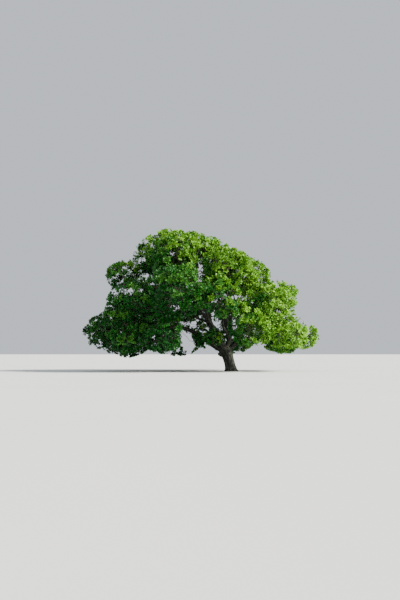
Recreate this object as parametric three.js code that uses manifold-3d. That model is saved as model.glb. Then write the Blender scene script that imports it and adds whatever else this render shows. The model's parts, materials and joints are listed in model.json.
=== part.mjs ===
// An old oak that stands alone on open ground: a short leaning trunk, crooked boughs and a broad, low crown
// whose foliage hangs in separate masses. Millimetres, +Z up. The flat cut under the trunk lies at z = 0 with
// the origin at its middle, the front of the tree faces -Y, and the trunk leans to the left, towards -X.
import * as THREE from "three";
import { mergeVertices } from "three/addons/utils/BufferGeometryUtils.js";
import Module from "manifold-3d";

const wasm = await Module();
wasm.setup();

const UP = new THREE.Vector3(0, 0, 1);
const EAST = new THREE.Vector3(1, 0, 0);
const GOLDEN_TURN = Math.PI * (3 - Math.sqrt(5));
const DEGREE = Math.PI / 180;

const barkFinish = { color: 0x5b4c3d, roughness: 0.95 };
const leafFinish = { color: 0x4f7a1e, roughness: 0.8 };

// Pieces that touch keep this gap, and a piece is cut by its neighbour grown by a little more.
const clearance = 0.3;
const cutGrowth = 0.36;

// The trunk: its radius half way up, how far the fork leans over, how much wider it is there, how the foot
// flares into buttresses, and the heights of its rings as shares of the fork's, the last of which close its
// top.
const trunkRadius = 455;
const forkHeight = 1780;
const forkLean = -480;
const leanCurve = 1.25;
const forkWidening = 0.22;
const flareRadius = 150;
const flareHeight = 260;
const buttressCount = 5;
const buttressDepth = 0.13;
const trunkSides = 16;
const trunkRings = [0, 0.05, 0.12, 0.24, 0.42, 0.62, 0.82, 1, 1.11, 1.2, 1.25];
const trunkCrown = 0.26;

// The burr on the trunk's left side, under the lowest bough: its radius and where its middle is.
const burrRadius = 200;
const burrPlace = new THREE.Vector3(-950, -90, 1440);

// The boughs: the radius of one that carries a single mass of foliage, its radius where it ends, how crooked
// it is, the collar at its foot, and its greatest radius as a share of the bough that it leaves.
const boughRadius = 84;
const boughTipRadius = 34;
const crookedness = 0.045;
const collarSwell = 0.22;
const collarLength = 260;
const widestChild = 0.9;

// The crown: its masses are ellipsoids, flattened alike, set on rings round the crown in five tiers. A ring
// has its middle, its reach to the side and to the front, and its height, which falls by `tilt` from left
// to right. A lobe of a tier has its angle round the ring, 0 at the right and 90 at the back, its half
// width and its lift.
const massFlatness = 0.87;
const tiers = [
  {
    name: "skirt", middle: -2450, reach: 8600, depth: 5300, height: 3050, tilt: 0,
    lobes: [
      { name: "right", angle: 0, width: 1350, lift: -100 },
      { name: "right_back", angle: 36, width: 1900, lift: 0 },
      { name: "back_right", angle: 72, width: 2200, lift: 200 },
      { name: "back_left", angle: 104, width: 2300, lift: 150 },
      { name: "left_back", angle: 140, width: 2450, lift: 200 },
      { name: "left", angle: 180, width: 1650, lift: 250 },
      { name: "left_front", angle: 220, width: 2300, lift: 250 },
      { name: "front_left", angle: 249, width: 1700, lift: -150 },
      { name: "front_right", angle: 296, width: 1700, lift: 400 },
      { name: "right_front", angle: 324, width: 1750, lift: -50 },
    ],
  },
  {
    name: "middle", middle: -2350, reach: 6800, depth: 5300, height: 6000, tilt: 0,
    lobes: [
      { name: "right", angle: 0, width: 1450, lift: 350 },
      { name: "right_back", angle: 38, width: 2200, lift: -300 },
      { name: "back_right", angle: 75, width: 2300, lift: 100 },
      { name: "back_left", angle: 112, width: 2500, lift: 300 },
      { name: "left_back", angle: 148, width: 2250, lift: -100 },
      { name: "left", angle: 180, width: 1650, lift: 2000 },
      { name: "left_front", angle: 215, width: 2350, lift: -300 },
      { name: "front_left", angle: 252, width: 2500, lift: 500 },
      { name: "front_right", angle: 283, width: 1700, lift: -150 },
      { name: "right_front", angle: 322, width: 2150, lift: -600 },
    ],
  },
  {
    name: "upper", middle: -2450, reach: 3800, depth: 3200, height: 8850, tilt: 1850,
    lobes: [
      { name: "right", angle: 0, width: 2050, lift: -50 },
      { name: "back_right", angle: 55, width: 2300, lift: 0 },
      { name: "back_left", angle: 125, width: 2300, lift: 0 },
      { name: "left", angle: 180, width: 1950, lift: 50 },
      { name: "front_left", angle: 235, width: 2200, lift: 0 },
      { name: "front_right", angle: 305, width: 2200, lift: 0 },
    ],
  },
  {
    name: "top", middle: -3350, reach: 1200, depth: 0, height: 10050, tilt: 500,
    lobes: [
      { name: "left", angle: 180, width: 2200, lift: 0 },
      { name: "right", angle: 0, width: 2250, lift: -200 },
    ],
  },
  {
    name: "inner", middle: -2000, reach: 0, depth: 1600, height: 2750, tilt: 0,
    lobes: [{ name: "front", angle: 270, width: 1250, lift: 0 }],
  },
];

// The boughs that shape the crown, in the order they grow: which bough each leaves, how far along it, the
// heading and climb in degrees where it leaves, and the climb where it arrives at its own mass. The others
// find their own places.
const leadBoughs = [
  { name: "middle_left", parent: "trunk", share: 0.9, heading: 176, climb: 66, arrives: 12 },
  { name: "upper_right", parent: "trunk", share: 0.96, heading: 350, climb: 82, arrives: 70 },
  { name: "skirt_left", parent: "trunk", share: 0.8, heading: 190, climb: 42, arrives: -14 },
  { name: "skirt_right", parent: "trunk", share: 0.86, heading: 350, climb: 48, arrives: -6 },
  { name: "top_right", parent: "middle_left", share: 0.27, heading: 150, climb: 80, arrives: 84 },
  { name: "middle_back_left", parent: "middle_left", share: 0.12, heading: 100, climb: 45, arrives: 20 },
  { name: "middle_back_right", parent: "upper_right", share: 0.1, heading: 70, climb: 50, arrives: 15 },
  { name: "middle_front_left", parent: "middle_left", share: 0.3, heading: 250, climb: 50, arrives: 25 },
  { name: "top_left", parent: "top_right", share: 0.4, heading: 185, climb: 62, arrives: 70 },
  { name: "upper_front_right", parent: "upper_right", share: 0.24, heading: 185, climb: 40, arrives: 84 },
];
const leadSteps = 9;

// The other boughs: how far apart they leave their parent and between which shares of it, how strongly they
// turn to their mass and upwards at once, the climb at which they arrive, and how much the way back to the
// trunk counts.
const boughSpacing = 420;
const boughShares = { first: 0.22, last: 0.88, step: 0.06 };
const boughTurn = { toMass: 1.4, upwards: 0.35 };
const arrivalClimb = 14;
const boughSteps = 5;
const wayBack = 1 / 3;

// How deep into its mass a bough ends, as shares of the mass's half width tried in turn, and how far from the
// next mass's space.
const entryShares = { first: 0.63, last: 0.1, step: 0.05 };
const entryMargin = 120;

// The twigs of a mass: how many it has for each square metre of its half width squared, how far out they
// end, as shares of the half width tried in turn, how far they sway, the radii of the stem and of a twig's
// end, how deep a root is sunk, and how far twigs stay from limbs and each other.
const twigsPerSquareMetre = 1;
const twigReach = { first: 0.86, last: 0.3, step: 0.06 };
const twigSway = 0.22;
const stemRadius = 34;
const stemBend = 0.25;
const thinnestTwig = 15;
const neckLength = 70;
const sunkShare = 0.3;
const twigGap = 45;
const woodStep = 80;
const rootReach = 160;

// The leaves, each of which stands for a spray: their size in a mass of a given half width, where along a
// stretch of twig they sit, how far they stay from wood, from each other and from the next mass, and how low
// they hang.
const leafLength = 1350;
const leafSpread = 0.15;
const standardMass = 2000;
const leafHalfWidth = 0.32;
const leafWidest = 0.45;
const leafThickness = 45;
const leafFacing = { outwards: 0.6, upwards: 0.5 };
const leafPlaces = { atEnd: [0.97, 0.9, 0.8, 0.5], along: [0.6] };
const leafGap = 25;
const limbGap = 50;
const spaceMargin = 25;
const lowestLeaf = 1100;

// A leaf that has no room is tried turned round its twig, tilted back along it, and smaller.
const leafTries = [1, 0.8].flatMap((share) =>
  [0, 50, -50].flatMap((turned) => [0.3, 0, -0.25].map((tilt) => ({ turned, tilt, share }))),
);

// Openings that the front view shows sky through: ellipses in the upright plane of the trunk, with their
// middle and half sizes, to the right and up. They run through the crown in line with a place in front of
// the tree.
const viewPlace = new THREE.Vector3(-2640, -80000, 1600);
const openings = [
  { name: "under_left_limb", at: [-3700, 2400], half: [600, 1150] },
  { name: "over_left_limb", at: [-3250, 4000], half: [400, 250] },
  { name: "between_forks", at: [-1200, 4000], half: [250, 850] },
  { name: "beside_leader", at: [-2700, 8500], half: [150, 800] },
  { name: "under_right_limb", at: [500, 6300], half: [900, 200] },
];

// Small repeatable random numbers from a whole-number seed.
function randomFrom(seed) {
  let state = seed >>> 0;
  return () => {
    state = (state + 0x6d2b79f5) >>> 0;
    let mixed = Math.imul(state ^ (state >>> 15), state | 1);
    mixed ^= mixed + Math.imul(mixed ^ (mixed >>> 7), mixed | 61);
    return ((mixed ^ (mixed >>> 14)) >>> 0) / 4294967296;
  };
}

const mix = (a, b, share) => a + (b - a) * share;
const smoothStep = (low, high, value) => THREE.MathUtils.smoothstep(value, low, high);
const clamp = (value, low, high) => Math.min(high, Math.max(low, value));

// A direction from its heading round the tree and its climb above the horizon, in degrees.
function direction(heading, climb) {
  const flat = Math.cos(climb * DEGREE);
  return new THREE.Vector3(
    flat * Math.cos(heading * DEGREE),
    flat * Math.sin(heading * DEGREE),
    Math.sin(climb * DEGREE),
  );
}

// The masses of foliage, from the tiers.
function crownMasses() {
  const made = [];
  for (const tier of tiers)
    for (const lobe of tier.lobes) {
      const turn = lobe.angle * DEGREE;
      made.push({
        name: tier.name + "_" + lobe.name,
        seed: 1000 + 17 * made.length,
        radius: lobe.width,
        centre: new THREE.Vector3(
          tier.middle + tier.reach * Math.cos(turn),
          tier.depth * Math.sin(turn),
          tier.height + lobe.lift - (tier.tilt / 2) * Math.cos(turn),
        ),
      });
    }
  return made;
}

// How far a point lies inside a mass, as its power: negative inside, least at the centre.
function powerOf(mass, point) {
  const x = point.x - mass.centre.x;
  const y = point.y - mass.centre.y;
  const z = (point.z - mass.centre.z) / massFlatness;
  return x * x + y * y + z * z - mass.radius * mass.radius;
}

const spread = (a, b) => Math.sqrt(powerOf(a, b.centre) + a.radius * a.radius);

// Whether a point lies in the space that a mass keeps to itself, at least `margin` from its neighbours'
// space.
function inOwnSpace(mass, point, margin) {
  const power = powerOf(mass, point);
  if (power > 0) return false;
  return masses.every(
    (other) => other === mass || powerOf(other, point) - power >= 2 * margin * spread(mass, other),
  );
}

// The trunk's middle at a height, and its radius there in a direction round it.
function trunkMiddle(z) {
  return new THREE.Vector3(forkLean * (Math.max(z, 0) / forkHeight) ** leanCurve, 0, z);
}

function trunkRadiusAt(z, turn) {
  const foot = Math.exp(-z / flareHeight);
  const fork = clamp(z / forkHeight, 0, 1) ** 3;
  const buttress = 1 + buttressDepth * foot * Math.cos(buttressCount * turn + 0.6);
  return (trunkRadius + flareRadius * foot) * buttress * (1 + forkWidening * fork * Math.cos(turn) ** 2);
}

// A closed skin over rings of points, each ring given as an array of the same length. Each end is drawn
// together to a point where one is given, and is a flat cap where none is.
function skin(rings, firstPoint = null, lastPoint = null) {
  const sides = rings[0].length;
  const points = rings.flat();
  const faces = [];
  for (let ring = 0; ring + 1 < rings.length; ring++)
    for (let side = 0; side < sides; side++) {
      const a = ring * sides + side;
      const b = ring * sides + ((side + 1) % sides);
      faces.push(a, b, b + sides, a, b + sides, a + sides);
    }
  const last = (rings.length - 1) * sides;
  for (let side = 1; side + 1 < sides; side++) {
    if (!firstPoint) faces.push(0, side + 1, side);
    if (!lastPoint) faces.push(last, last + side, last + side + 1);
  }
  for (let side = 0; side < sides; side++) {
    const next = (side + 1) % sides;
    if (firstPoint) faces.push(points.length, next, side);
    if (lastPoint) faces.push(points.length + (firstPoint ? 1 : 0), last + side, last + next);
  }
  return solidFrom([...points, firstPoint, lastPoint].filter(Boolean), faces);
}

// A closed solid from points and triangles.
function solidFrom(points, faces) {
  const vertProperties = new Float32Array(points.length * 3);
  points.forEach((p, i) => vertProperties.set([p.x, p.y, p.z], 3 * i));
  return new wasm.Manifold(new wasm.Mesh({ numProp: 3, vertProperties, triVerts: new Uint32Array(faces) }));
}

// The trunk, from its flat foot to the crotch where the boughs part, with its burr, grown by `extra` all
// over.
function trunkSolid(extra) {
  const rings = trunkRings.map((share) => {
    const z = share * forkHeight;
    const middle = trunkMiddle(z);
    const closing = share > 1 ? Math.sqrt(1 - ((share - 1) / trunkCrown) ** 2) : 1;
    return Array.from({ length: trunkSides }, (_, side) => {
      const turn = (2 * Math.PI * side) / trunkSides;
      const radius = trunkRadiusAt(z, turn) * closing + extra;
      const top = share > 1 ? extra : 0;
      return new THREE.Vector3(middle.x + radius * Math.cos(turn), radius * Math.sin(turn), z + top);
    });
  });
  const burr = new THREE.IcosahedronGeometry(burrRadius + extra, 1).translate(...burrPlace);
  burr.deleteAttribute("normal");
  burr.deleteAttribute("uv");
  const { attributes, index } = mergeVertices(burr);
  const points = Array.from({ length: attributes.position.count }, (_, i) =>
    new THREE.Vector3().fromBufferAttribute(attributes.position, i),
  );
  return skin(rings).add(solidFrom(points, index.array));
}

// The middle line of a bough: a smooth sweep between two points and directions, made crooked by slow waves.
function boughLine(from, leaving, to, arriving, steps, random) {
  const span = from.distanceTo(to);
  const across = new THREE.Vector3().crossVectors(leaving, UP).normalize();
  const over = new THREE.Vector3().crossVectors(across, leaving).normalize();
  const phases = [random(), random()].map((value) => 2 * Math.PI * value);
  return Array.from({ length: steps + 1 }, (_, step) => {
    const t = step / steps;
    const point = new THREE.Vector3()
      .addScaledVector(from, 1 - 3 * t * t + 2 * t * t * t)
      .addScaledVector(leaving, span * (t - 2 * t * t + t * t * t))
      .addScaledVector(to, 3 * t * t - 2 * t * t * t)
      .addScaledVector(arriving, span * (t * t * t - t * t));
    const wave = crookedness * span * Math.sin(Math.PI * t);
    point.addScaledVector(across, wave * Math.sin(phases[0] + 7 * t));
    return point.addScaledVector(over, wave * Math.cos(phases[1] + 6 * t));
  });
}

// A point a share of the way along a line of points, and the direction there.
function along(line, share) {
  const place = clamp(share, 0, 1) * (line.length - 1);
  const step = Math.min(Math.floor(place), line.length - 2);
  return {
    point: line[step].clone().lerp(line[step + 1], place - step),
    heading: line[step + 1].clone().sub(line[step]).normalize(),
  };
}

function lineLength(line) {
  return line.slice(1).reduce((sum, point, i) => sum + point.distanceTo(line[i]), 0);
}

// Where a bough ends: inside its mass, on the side that it comes from.
function entryPoint(mass, from) {
  const inward = from.clone().sub(mass.centre).normalize();
  for (let share = entryShares.first; share > entryShares.last; share -= entryShares.step) {
    const point = mass.centre.clone().addScaledVector(inward, share * mass.radius);
    if (inOwnSpace(mass, point, entryMargin)) return point;
  }
  return mass.centre.clone();
}

// The boughs: first the ones that shape the crown, then one to each mass that is left, nearest first. Each of
// those leaves the bough point that is closest to its mass, counting a share of the way back to the trunk.
function growBoughs() {
  const line = Array.from({ length: 9 }, (_, i) => trunkMiddle((forkHeight * i) / 8));
  const trunk = { name: "trunk", line, back: 0, parent: null, starts: [] };
  const grown = [trunk];
  const named = (list, name) => list.find((one) => one.name === name);
  const wayAlong = (bough, share) => bough.back + share * lineLength(bough.line);
  const grow = (mass, parent, share, leaving, arrives, steps) => {
    const start = along(parent.line, share);
    const to = entryPoint(mass, start.point);
    const heading = Math.atan2(to.y - start.point.y, to.x - start.point.x) / DEGREE;
    const arriving = direction(heading, arrives);
    parent.starts.push(start.point);
    grown.push({
      name: mass.name,
      mass,
      parent,
      share,
      line: boughLine(start.point, leaving(start, to), to, arriving, steps, randomFrom(mass.seed)),
      back: wayAlong(parent, share),
      starts: [],
    });
  };
  for (const { name, parent, share, heading, climb, arrives } of leadBoughs) {
    const leaving = () => direction(heading, climb);
    grow(named(masses, name), named(grown, parent), share, leaving, arrives, leadSteps);
  }
  const turnedToMass = (start, to) =>
    start.heading
      .clone()
      .addScaledVector(to.clone().sub(start.point).normalize(), boughTurn.toMass)
      .addScaledVector(UP, boughTurn.upwards)
      .normalize();
  const waiting = masses.filter((mass) => !named(grown, mass.name));
  while (waiting.length) {
    let best = null;
    for (const mass of waiting)
      for (const parent of grown.slice(1))
        for (let share = boughShares.first; share <= boughShares.last; share += boughShares.step) {
          const { point } = along(parent.line, share);
          if (parent.starts.some((start) => start.distanceTo(point) < boughSpacing)) continue;
          const cost = point.distanceTo(mass.centre) + wayBack * wayAlong(parent, share);
          if (!best || cost < best.cost) best = { cost, mass, parent, share };
        }
    grow(best.mass, best.parent, best.share, turnedToMass, arrivalClimb, boughSteps);
    waiting.splice(waiting.indexOf(best.mass), 1);
  }
  for (const bough of grown) bough.load = 1;
  for (const bough of grown.slice(1).reverse()) bough.parent.load += bough.load;
  for (const bough of grown) bough.children = grown.filter((other) => other.parent === bough);
  return grown;
}

// A bough's radius a share of the way along. The wood in it matches the wood that it feeds, so it follows
// the load of the masses that hang on it. It narrows past each bough that leaves it, and swells at its own
// collar.
function boughRadiusAt(bough, share) {
  const carried = bough.children.reduce(
    (sum, child) => sum + child.load * (1 - smoothStep(child.share - 0.06, child.share + 0.14, share)),
    mix(1, (boughTipRadius / boughRadius) ** 2, share),
  );
  const collar = collarSwell * Math.exp((-share * lineLength(bough.line)) / collarLength);
  const radius = boughRadius * Math.sqrt(carried) * (1 + collar);
  const limit = bough.parent.parent ? widestChild * boughRadiusAt(bough.parent, bough.share) : Infinity;
  return Math.min(radius, limit);
}

// Rings of points round a line, turned as little as possible from each ring to the next.
function ringsAround(line, radii, sides) {
  let across = null;
  return line.map((point, i) => {
    const before = line[Math.max(i - 1, 0)];
    const after = line[Math.min(i + 1, line.length - 1)];
    const forward = after.clone().sub(before).normalize();
    across ??= new THREE.Vector3().crossVectors(forward, Math.abs(forward.z) > 0.9 ? EAST : UP);
    across.addScaledVector(forward, -across.dot(forward)).normalize();
    const over = new THREE.Vector3().crossVectors(forward, across);
    return Array.from({ length: sides }, (_, side) => {
      const turn = (2 * Math.PI * side) / sides;
      const spoke = across.clone().multiplyScalar(Math.cos(turn)).addScaledVector(over, Math.sin(turn));
      return spoke.multiplyScalar(radii[i]).add(point);
    });
  });
}

// A bough as a tapering tube, with more sides the thicker it is, grown by `extra` all over.
function boughSolid(bough, extra) {
  const sides = clamp(Math.round(2.5 + 1.9 * Math.sqrt(bough.load)), 5, 8);
  const radii = bough.line.map((_, i) => boughRadiusAt(bough, i / (bough.line.length - 1)) + extra);
  return skin(ringsAround(bough.line, radii, sides));
}

// Points spaced evenly along a stretch of wood, each with the wood's radius there.
function woodPoints(a, b, radius) {
  const count = Math.ceil(a.distanceTo(b) / woodStep);
  return Array.from({ length: count + 1 }, (_, i) => ({ point: a.clone().lerp(b, i / count), radius }));
}

// Whether a point lies in one of the openings that the front view shows sky through.
function inOpening(point) {
  const { x, z } = viewPlace.clone().lerp(point, viewPlace.y / (viewPlace.y - point.y));
  return openings.some(({ at, half }) => ((x - at[0]) / half[0]) ** 2 + ((z - at[1]) / half[1]) ** 2 < 1);
}

// A number of directions spread evenly all round, turned by a phase.
function evenDirections(count, phase) {
  return Array.from({ length: count }, (_, i) => {
    const rise = 1 - (2 * i + 1) / count;
    const flat = Math.sqrt(1 - rise * rise);
    const turn = phase + i * GOLDEN_TURN;
    return new THREE.Vector3(flat * Math.cos(turn), flat * Math.sin(turn), rise);
  });
}

// A leaf: a thick blade with a ridge, widest part of the way along, facing outwards and up.
function leafAt(base, forward, outward, length) {
  const facing = outward.clone().multiplyScalar(leafFacing.outwards);
  facing.addScaledVector(UP, leafFacing.upwards);
  facing.addScaledVector(forward, -facing.dot(forward)).normalize();
  const across = new THREE.Vector3().crossVectors(facing, forward);
  const middle = base.clone().addScaledVector(forward, leafWidest * length);
  const ring = [
    middle.clone().addScaledVector(facing, leafThickness),
    middle.clone().addScaledVector(across, leafHalfWidth * length),
    middle.clone().addScaledVector(across, -leafHalfWidth * length),
  ];
  const tip = base.clone().addScaledVector(forward, length);
  const halfWay = (corner, end) => corner.clone().lerp(end, 0.5);
  const edges = ring.flatMap((corner) => [corner, halfWay(corner, tip), halfWay(corner, base)]);
  return { base, forward, facing, across, length, ring, tip, probes: [...edges, middle, tip] };
}

// Whether a point comes nearer to a leaf's blade than a gap.
function nearLeaf({ base, forward, facing, across, length }, point, gap) {
  const from = point.clone().sub(base);
  const reach = from.dot(forward) / length;
  const taper = reach < leafWidest ? reach / leafWidest : (1 - reach) / (1 - leafWidest);
  const halfWidth = Math.max(taper, 0) * leafHalfWidth * length;
  const over = from.dot(facing);
  const withinLength = reach * length > -gap && (reach - 1) * length < gap;
  const withinWidth = Math.abs(from.dot(across)) < halfWidth + gap;
  return withinLength && withinWidth && over > -gap && over < leafThickness + gap;
}

// A leaf stays in its mass's own space, above the ground, out of the openings, and clear of wood and other
// leaves.
function leafFits(mass, leaf, limbs, wood, others) {
  const inSpace = (corner) => corner.z > lowestLeaf && inOwnSpace(mass, corner, spaceMargin);
  if (![...leaf.ring, leaf.tip].every(inSpace) || leaf.probes.some(inOpening)) return false;
  if (limbs.some(({ point, radius }) => nearLeaf(leaf, point, radius + limbGap))) return false;
  const distantWood = wood.filter(({ point }) => point.distanceTo(leaf.base) > rootReach);
  if (distantWood.some(({ point, radius }) => nearLeaf(leaf, point, radius + leafGap))) return false;
  return !others.some(
    (other) =>
      leaf.probes.some((probe) => nearLeaf(other, probe, leafGap)) ||
      other.probes.some((probe) => nearLeaf(leaf, probe, leafGap)),
  );
}

// A twig's end: as near to the surface of its mass as its own space and the openings let it come.
function twigEnd(mass, outward) {
  const reach = outward.clone().multiply(new THREE.Vector3(1, 1, massFlatness));
  for (let share = twigReach.first; share > twigReach.last; share -= twigReach.step) {
    const point = mass.centre.clone().addScaledVector(reach, share * mass.radius);
    if (point.z < lowestLeaf || inOpening(point)) continue;
    if (inOwnSpace(mass, point, 2 * spaceMargin)) return point;
  }
  return null;
}

// The wood of a mass: a stem from the bough's tip to the heart of the mass, and from it a twig to each even
// place on its surface. A twig leaves the wood already there that is nearest, counting a share of the way
// back to the bough.
function growTwigs(mass, bough, limbs, random) {
  const end = along(bough.line, 1);
  const start = end.point.clone().addScaledVector(end.heading, clearance);
  const root = { point: start, back: 0, load: 1, children: [] };
  const nodes = [root];
  const wood = [];
  const add = (point, parent) => {
    const back = parent.back + parent.point.distanceTo(point);
    const node = { point, parent, back, load: 1, children: [] };
    nodes.push(node);
    parent.children.push(node);
    wood.push(...woodPoints(parent.point, point, stemRadius));
    return node;
  };
  const neck = add(root.point.clone().addScaledVector(end.heading, neckLength), root);
  const inward = mass.centre.clone().sub(root.point);
  const onward = end.heading.clone().multiplyScalar(inward.length()).add(inward);
  add(mass.centre.clone(), add(neck.point.clone().addScaledVector(onward, stemBend), neck));
  const wayClear = (from, to) =>
    woodPoints(from, to, 0)
      .slice(1)
      .every(
        ({ point: place }) =>
          limbs.every(({ point, radius }) => point.distanceTo(place) > radius + twigGap) &&
          wood.every(({ point }) => point.distanceTo(place) > twigGap || point.distanceTo(from) < rootReach),
      );
  const count = Math.round(twigsPerSquareMetre * (mass.radius / 1000) ** 2);
  const outwards = evenDirections(count, 2 * Math.PI * random());
  const ends = outwards.map((outward) => twigEnd(mass, outward)).filter(Boolean);
  ends.sort((a, b) => a.distanceTo(root.point) - b.distanceTo(root.point));
  for (const tip of ends) {
    const sway = new THREE.Vector3(random() - 0.5, random() - 0.5, random() - 0.3).multiplyScalar(twigSway);
    let best = null;
    for (const node of nodes.slice(2)) {
      const way = node.point.distanceTo(tip);
      const cost = way + wayBack * node.back;
      const middle = node.point.clone().lerp(tip, 0.5).addScaledVector(sway, way);
      if (best && cost >= best.cost) continue;
      if (wayClear(node.point, middle) && wayClear(middle, tip)) best = { cost, node, middle };
    }
    if (best) add(tip, add(best.middle, best.node));
  }
  for (const node of nodes.slice(1).reverse()) node.parent.load += node.load;
  for (const node of nodes) {
    node.children.sort((a, b) => b.load - a.load);
    node.radius = mix(thinnestTwig, stemRadius, Math.sqrt((node.load - 1) / (root.load - 1)));
  }
  return { nodes, wood };
}

// The leaves of a mass: a rosette round the end of each twig and others along it, each turned on from the
// last.
function growLeaves(mass, nodes, limbs, wood, random) {
  const leaves = [];
  for (const node of nodes.slice(4)) {
    const heading = node.point.clone().sub(node.parent.point).normalize();
    const side = new THREE.Vector3().crossVectors(heading, UP).normalize();
    let turn = 2 * Math.PI * random();
    for (const place of node.children.length ? leafPlaces.along : leafPlaces.atEnd) {
      const base = node.parent.point.clone().lerp(node.point, place);
      const outward = base.clone().sub(mass.centre).normalize();
      const size = mix(1 - leafSpread, 1 + leafSpread, random()) * Math.sqrt(mass.radius / standardMass);
      turn += GOLDEN_TURN;
      const fitting = leafTries
        .map(({ turned, tilt, share }) => {
          const forward = side.clone().applyAxisAngle(heading, turn + turned * DEGREE);
          forward.addScaledVector(heading, tilt).normalize();
          return leafAt(base, forward, outward, share * size * leafLength);
        })
        .find((leaf) => leafFits(mass, leaf, limbs, wood, leaves));
      if (fitting) leaves.push(fitting);
    }
  }
  return leaves;
}

// A mass as one solid. A run of twigs is a three-sided tube that starts inside the twig that it leaves, and a
// leaf starts from a point inside its twig.
function massSolid(nodes, leaves) {
  const parts = leaves.map((leaf) => skin([leaf.ring], leaf.tip, leaf.base));
  const grow = (start, from) => {
    const run = from ? [{ point: from.point, radius: sunkShare * from.radius }, start] : [start];
    let end = start;
    while (end.children.length) {
      for (const child of end.children.slice(1)) grow(child, end);
      [end] = end.children;
      run.push(end);
    }
    const points = run.map((node) => node.point);
    const radii = run.map((node) => node.radius);
    parts.push(skin(ringsAround(points, radii, 3)));
  };
  grow(nodes[0], null);
  return wasm.Manifold.union(parts);
}

// The largest body of a solid, with its loose scraps and its sealed hollows left out.
const mainBody = (solid) => solid.decompose().sort((a, b) => b.volume() - a.volume())[0];

const masses = crownMasses();
const boughs = growBoughs();
const bark = boughs.flatMap((bough) => {
  const steps = bough.line.length - 1;
  return bough.line.slice(1).flatMap((end, i) => {
    const start = bough.line[i];
    return woodPoints(start, end, bough.mass ? boughRadiusAt(bough, i / steps) : trunkRadiusAt(start.z, 0));
  });
});

// A named mesh of a solid, with its own place at the point where it starts.
function pieceOf(name, solid, place, finish) {
  const { numVert, numProp, vertProperties, triVerts } = solid.getMesh();
  const positions = new Float32Array(3 * numVert);
  for (let i = 0; i < numVert; i++)
    positions.set(vertProperties.subarray(i * numProp, i * numProp + 3), 3 * i);
  const geometry = new THREE.BufferGeometry();
  geometry.setAttribute("position", new THREE.BufferAttribute(positions, 3));
  geometry.setIndex(new THREE.BufferAttribute(new Uint32Array(triVerts), 1));
  geometry.translate(-place.x, -place.y, -place.z);
  const piece = new THREE.Mesh(geometry, new THREE.MeshStandardMaterial({ metalness: 0, ...finish }));
  piece.name = name;
  piece.position.copy(place);
  return piece;
}

// The trunk and the boughs, each bough cut clear of the wood that it leaves.
function limbGroup() {
  const group = new THREE.Group();
  group.add(pieceOf("trunk", trunkSolid(0), new THREE.Vector3(), barkFinish));
  let standing = trunkSolid(cutGrowth);
  for (const bough of boughs.slice(1)) {
    const cut = mainBody(boughSolid(bough, 0).subtract(standing));
    group.add(pieceOf("bough_" + bough.name, cut, bough.line[0], barkFinish));
    standing = standing.add(boughSolid(bough, cutGrowth));
  }
  return group;
}

// The masses of foliage, one on the tip of each bough.
function foliageGroup() {
  const group = new THREE.Group();
  for (const bough of boughs.slice(1)) {
    const { mass } = bough;
    const random = randomFrom(mass.seed + 1);
    const reach = mass.radius + twigGap;
    const limbs = bark.filter(({ point, radius }) => point.distanceTo(mass.centre) < reach + radius);
    const { nodes, wood } = growTwigs(mass, bough, limbs, random);
    const solid = mainBody(massSolid(nodes, growLeaves(mass, nodes, limbs, wood, random)));
    group.add(pieceOf("foliage_" + bough.name, solid, nodes[0].point, leafFinish));
  }
  return group;
}

const tree = new THREE.Group();
tree.add(limbGroup(), foliageGroup());

export default tree;
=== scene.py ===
# An old oak that stands alone: a short leaning trunk with furrowed bark, crooked boughs, and a broad, low
# crown whose leaves hang in separate masses. Metres, +Z up. The origin is in the middle of the flat cut
# under the trunk, the front of the tree faces -Y, and the trunk leans to the left, towards -X.
import json
import math
from dataclasses import dataclass, field

import bpy
import numpy as np
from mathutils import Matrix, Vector

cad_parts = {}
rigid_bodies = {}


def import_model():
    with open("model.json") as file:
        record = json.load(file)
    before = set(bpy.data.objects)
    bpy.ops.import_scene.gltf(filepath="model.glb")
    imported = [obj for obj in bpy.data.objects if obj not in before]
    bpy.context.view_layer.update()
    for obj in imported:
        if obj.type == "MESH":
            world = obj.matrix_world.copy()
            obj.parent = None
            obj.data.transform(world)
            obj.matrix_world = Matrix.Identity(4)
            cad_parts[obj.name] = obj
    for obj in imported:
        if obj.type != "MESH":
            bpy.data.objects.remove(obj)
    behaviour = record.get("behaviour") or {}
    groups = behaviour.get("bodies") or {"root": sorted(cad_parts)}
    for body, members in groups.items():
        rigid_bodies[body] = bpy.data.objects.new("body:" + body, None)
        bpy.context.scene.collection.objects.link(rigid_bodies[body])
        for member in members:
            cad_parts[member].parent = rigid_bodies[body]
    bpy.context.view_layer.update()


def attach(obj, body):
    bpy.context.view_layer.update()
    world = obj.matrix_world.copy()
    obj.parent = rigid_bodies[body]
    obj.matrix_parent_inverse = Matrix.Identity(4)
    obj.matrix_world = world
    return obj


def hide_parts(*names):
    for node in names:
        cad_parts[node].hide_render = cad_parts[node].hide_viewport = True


UP = np.array([0.0, 0.0, 1.0])
EAST = np.array([1.0, 0.0, 0.0])
NEARLY_UP = np.array([0.01, 0.0, 1.0])
GOLDEN_TURN = math.pi * (3 - math.sqrt(5))
FINE_SEED = 345
LEAF_SEED = 20260
WORD = 0xFFFFFFFF
CHUNK = 8192

# The camera: where it stands, what it looks at, and how wide its picture is there. The floor lies just below
# the cut under the trunk.
VIEW_PLACE = np.array([-2.64, -80.0, 1.6])
VIEW_TARGET = np.array([-2.64, 0.0, 6.03])
VIEW_WIDTH = 34.0
FRAME_WIDTH = 400
FRAME_HEIGHT = 600
SENSOR = 36.0
FURTHEST_SEEN = 1500
FLOOR_WIDTH = 1200.0
FLOOR_GAP = 0.002

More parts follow.
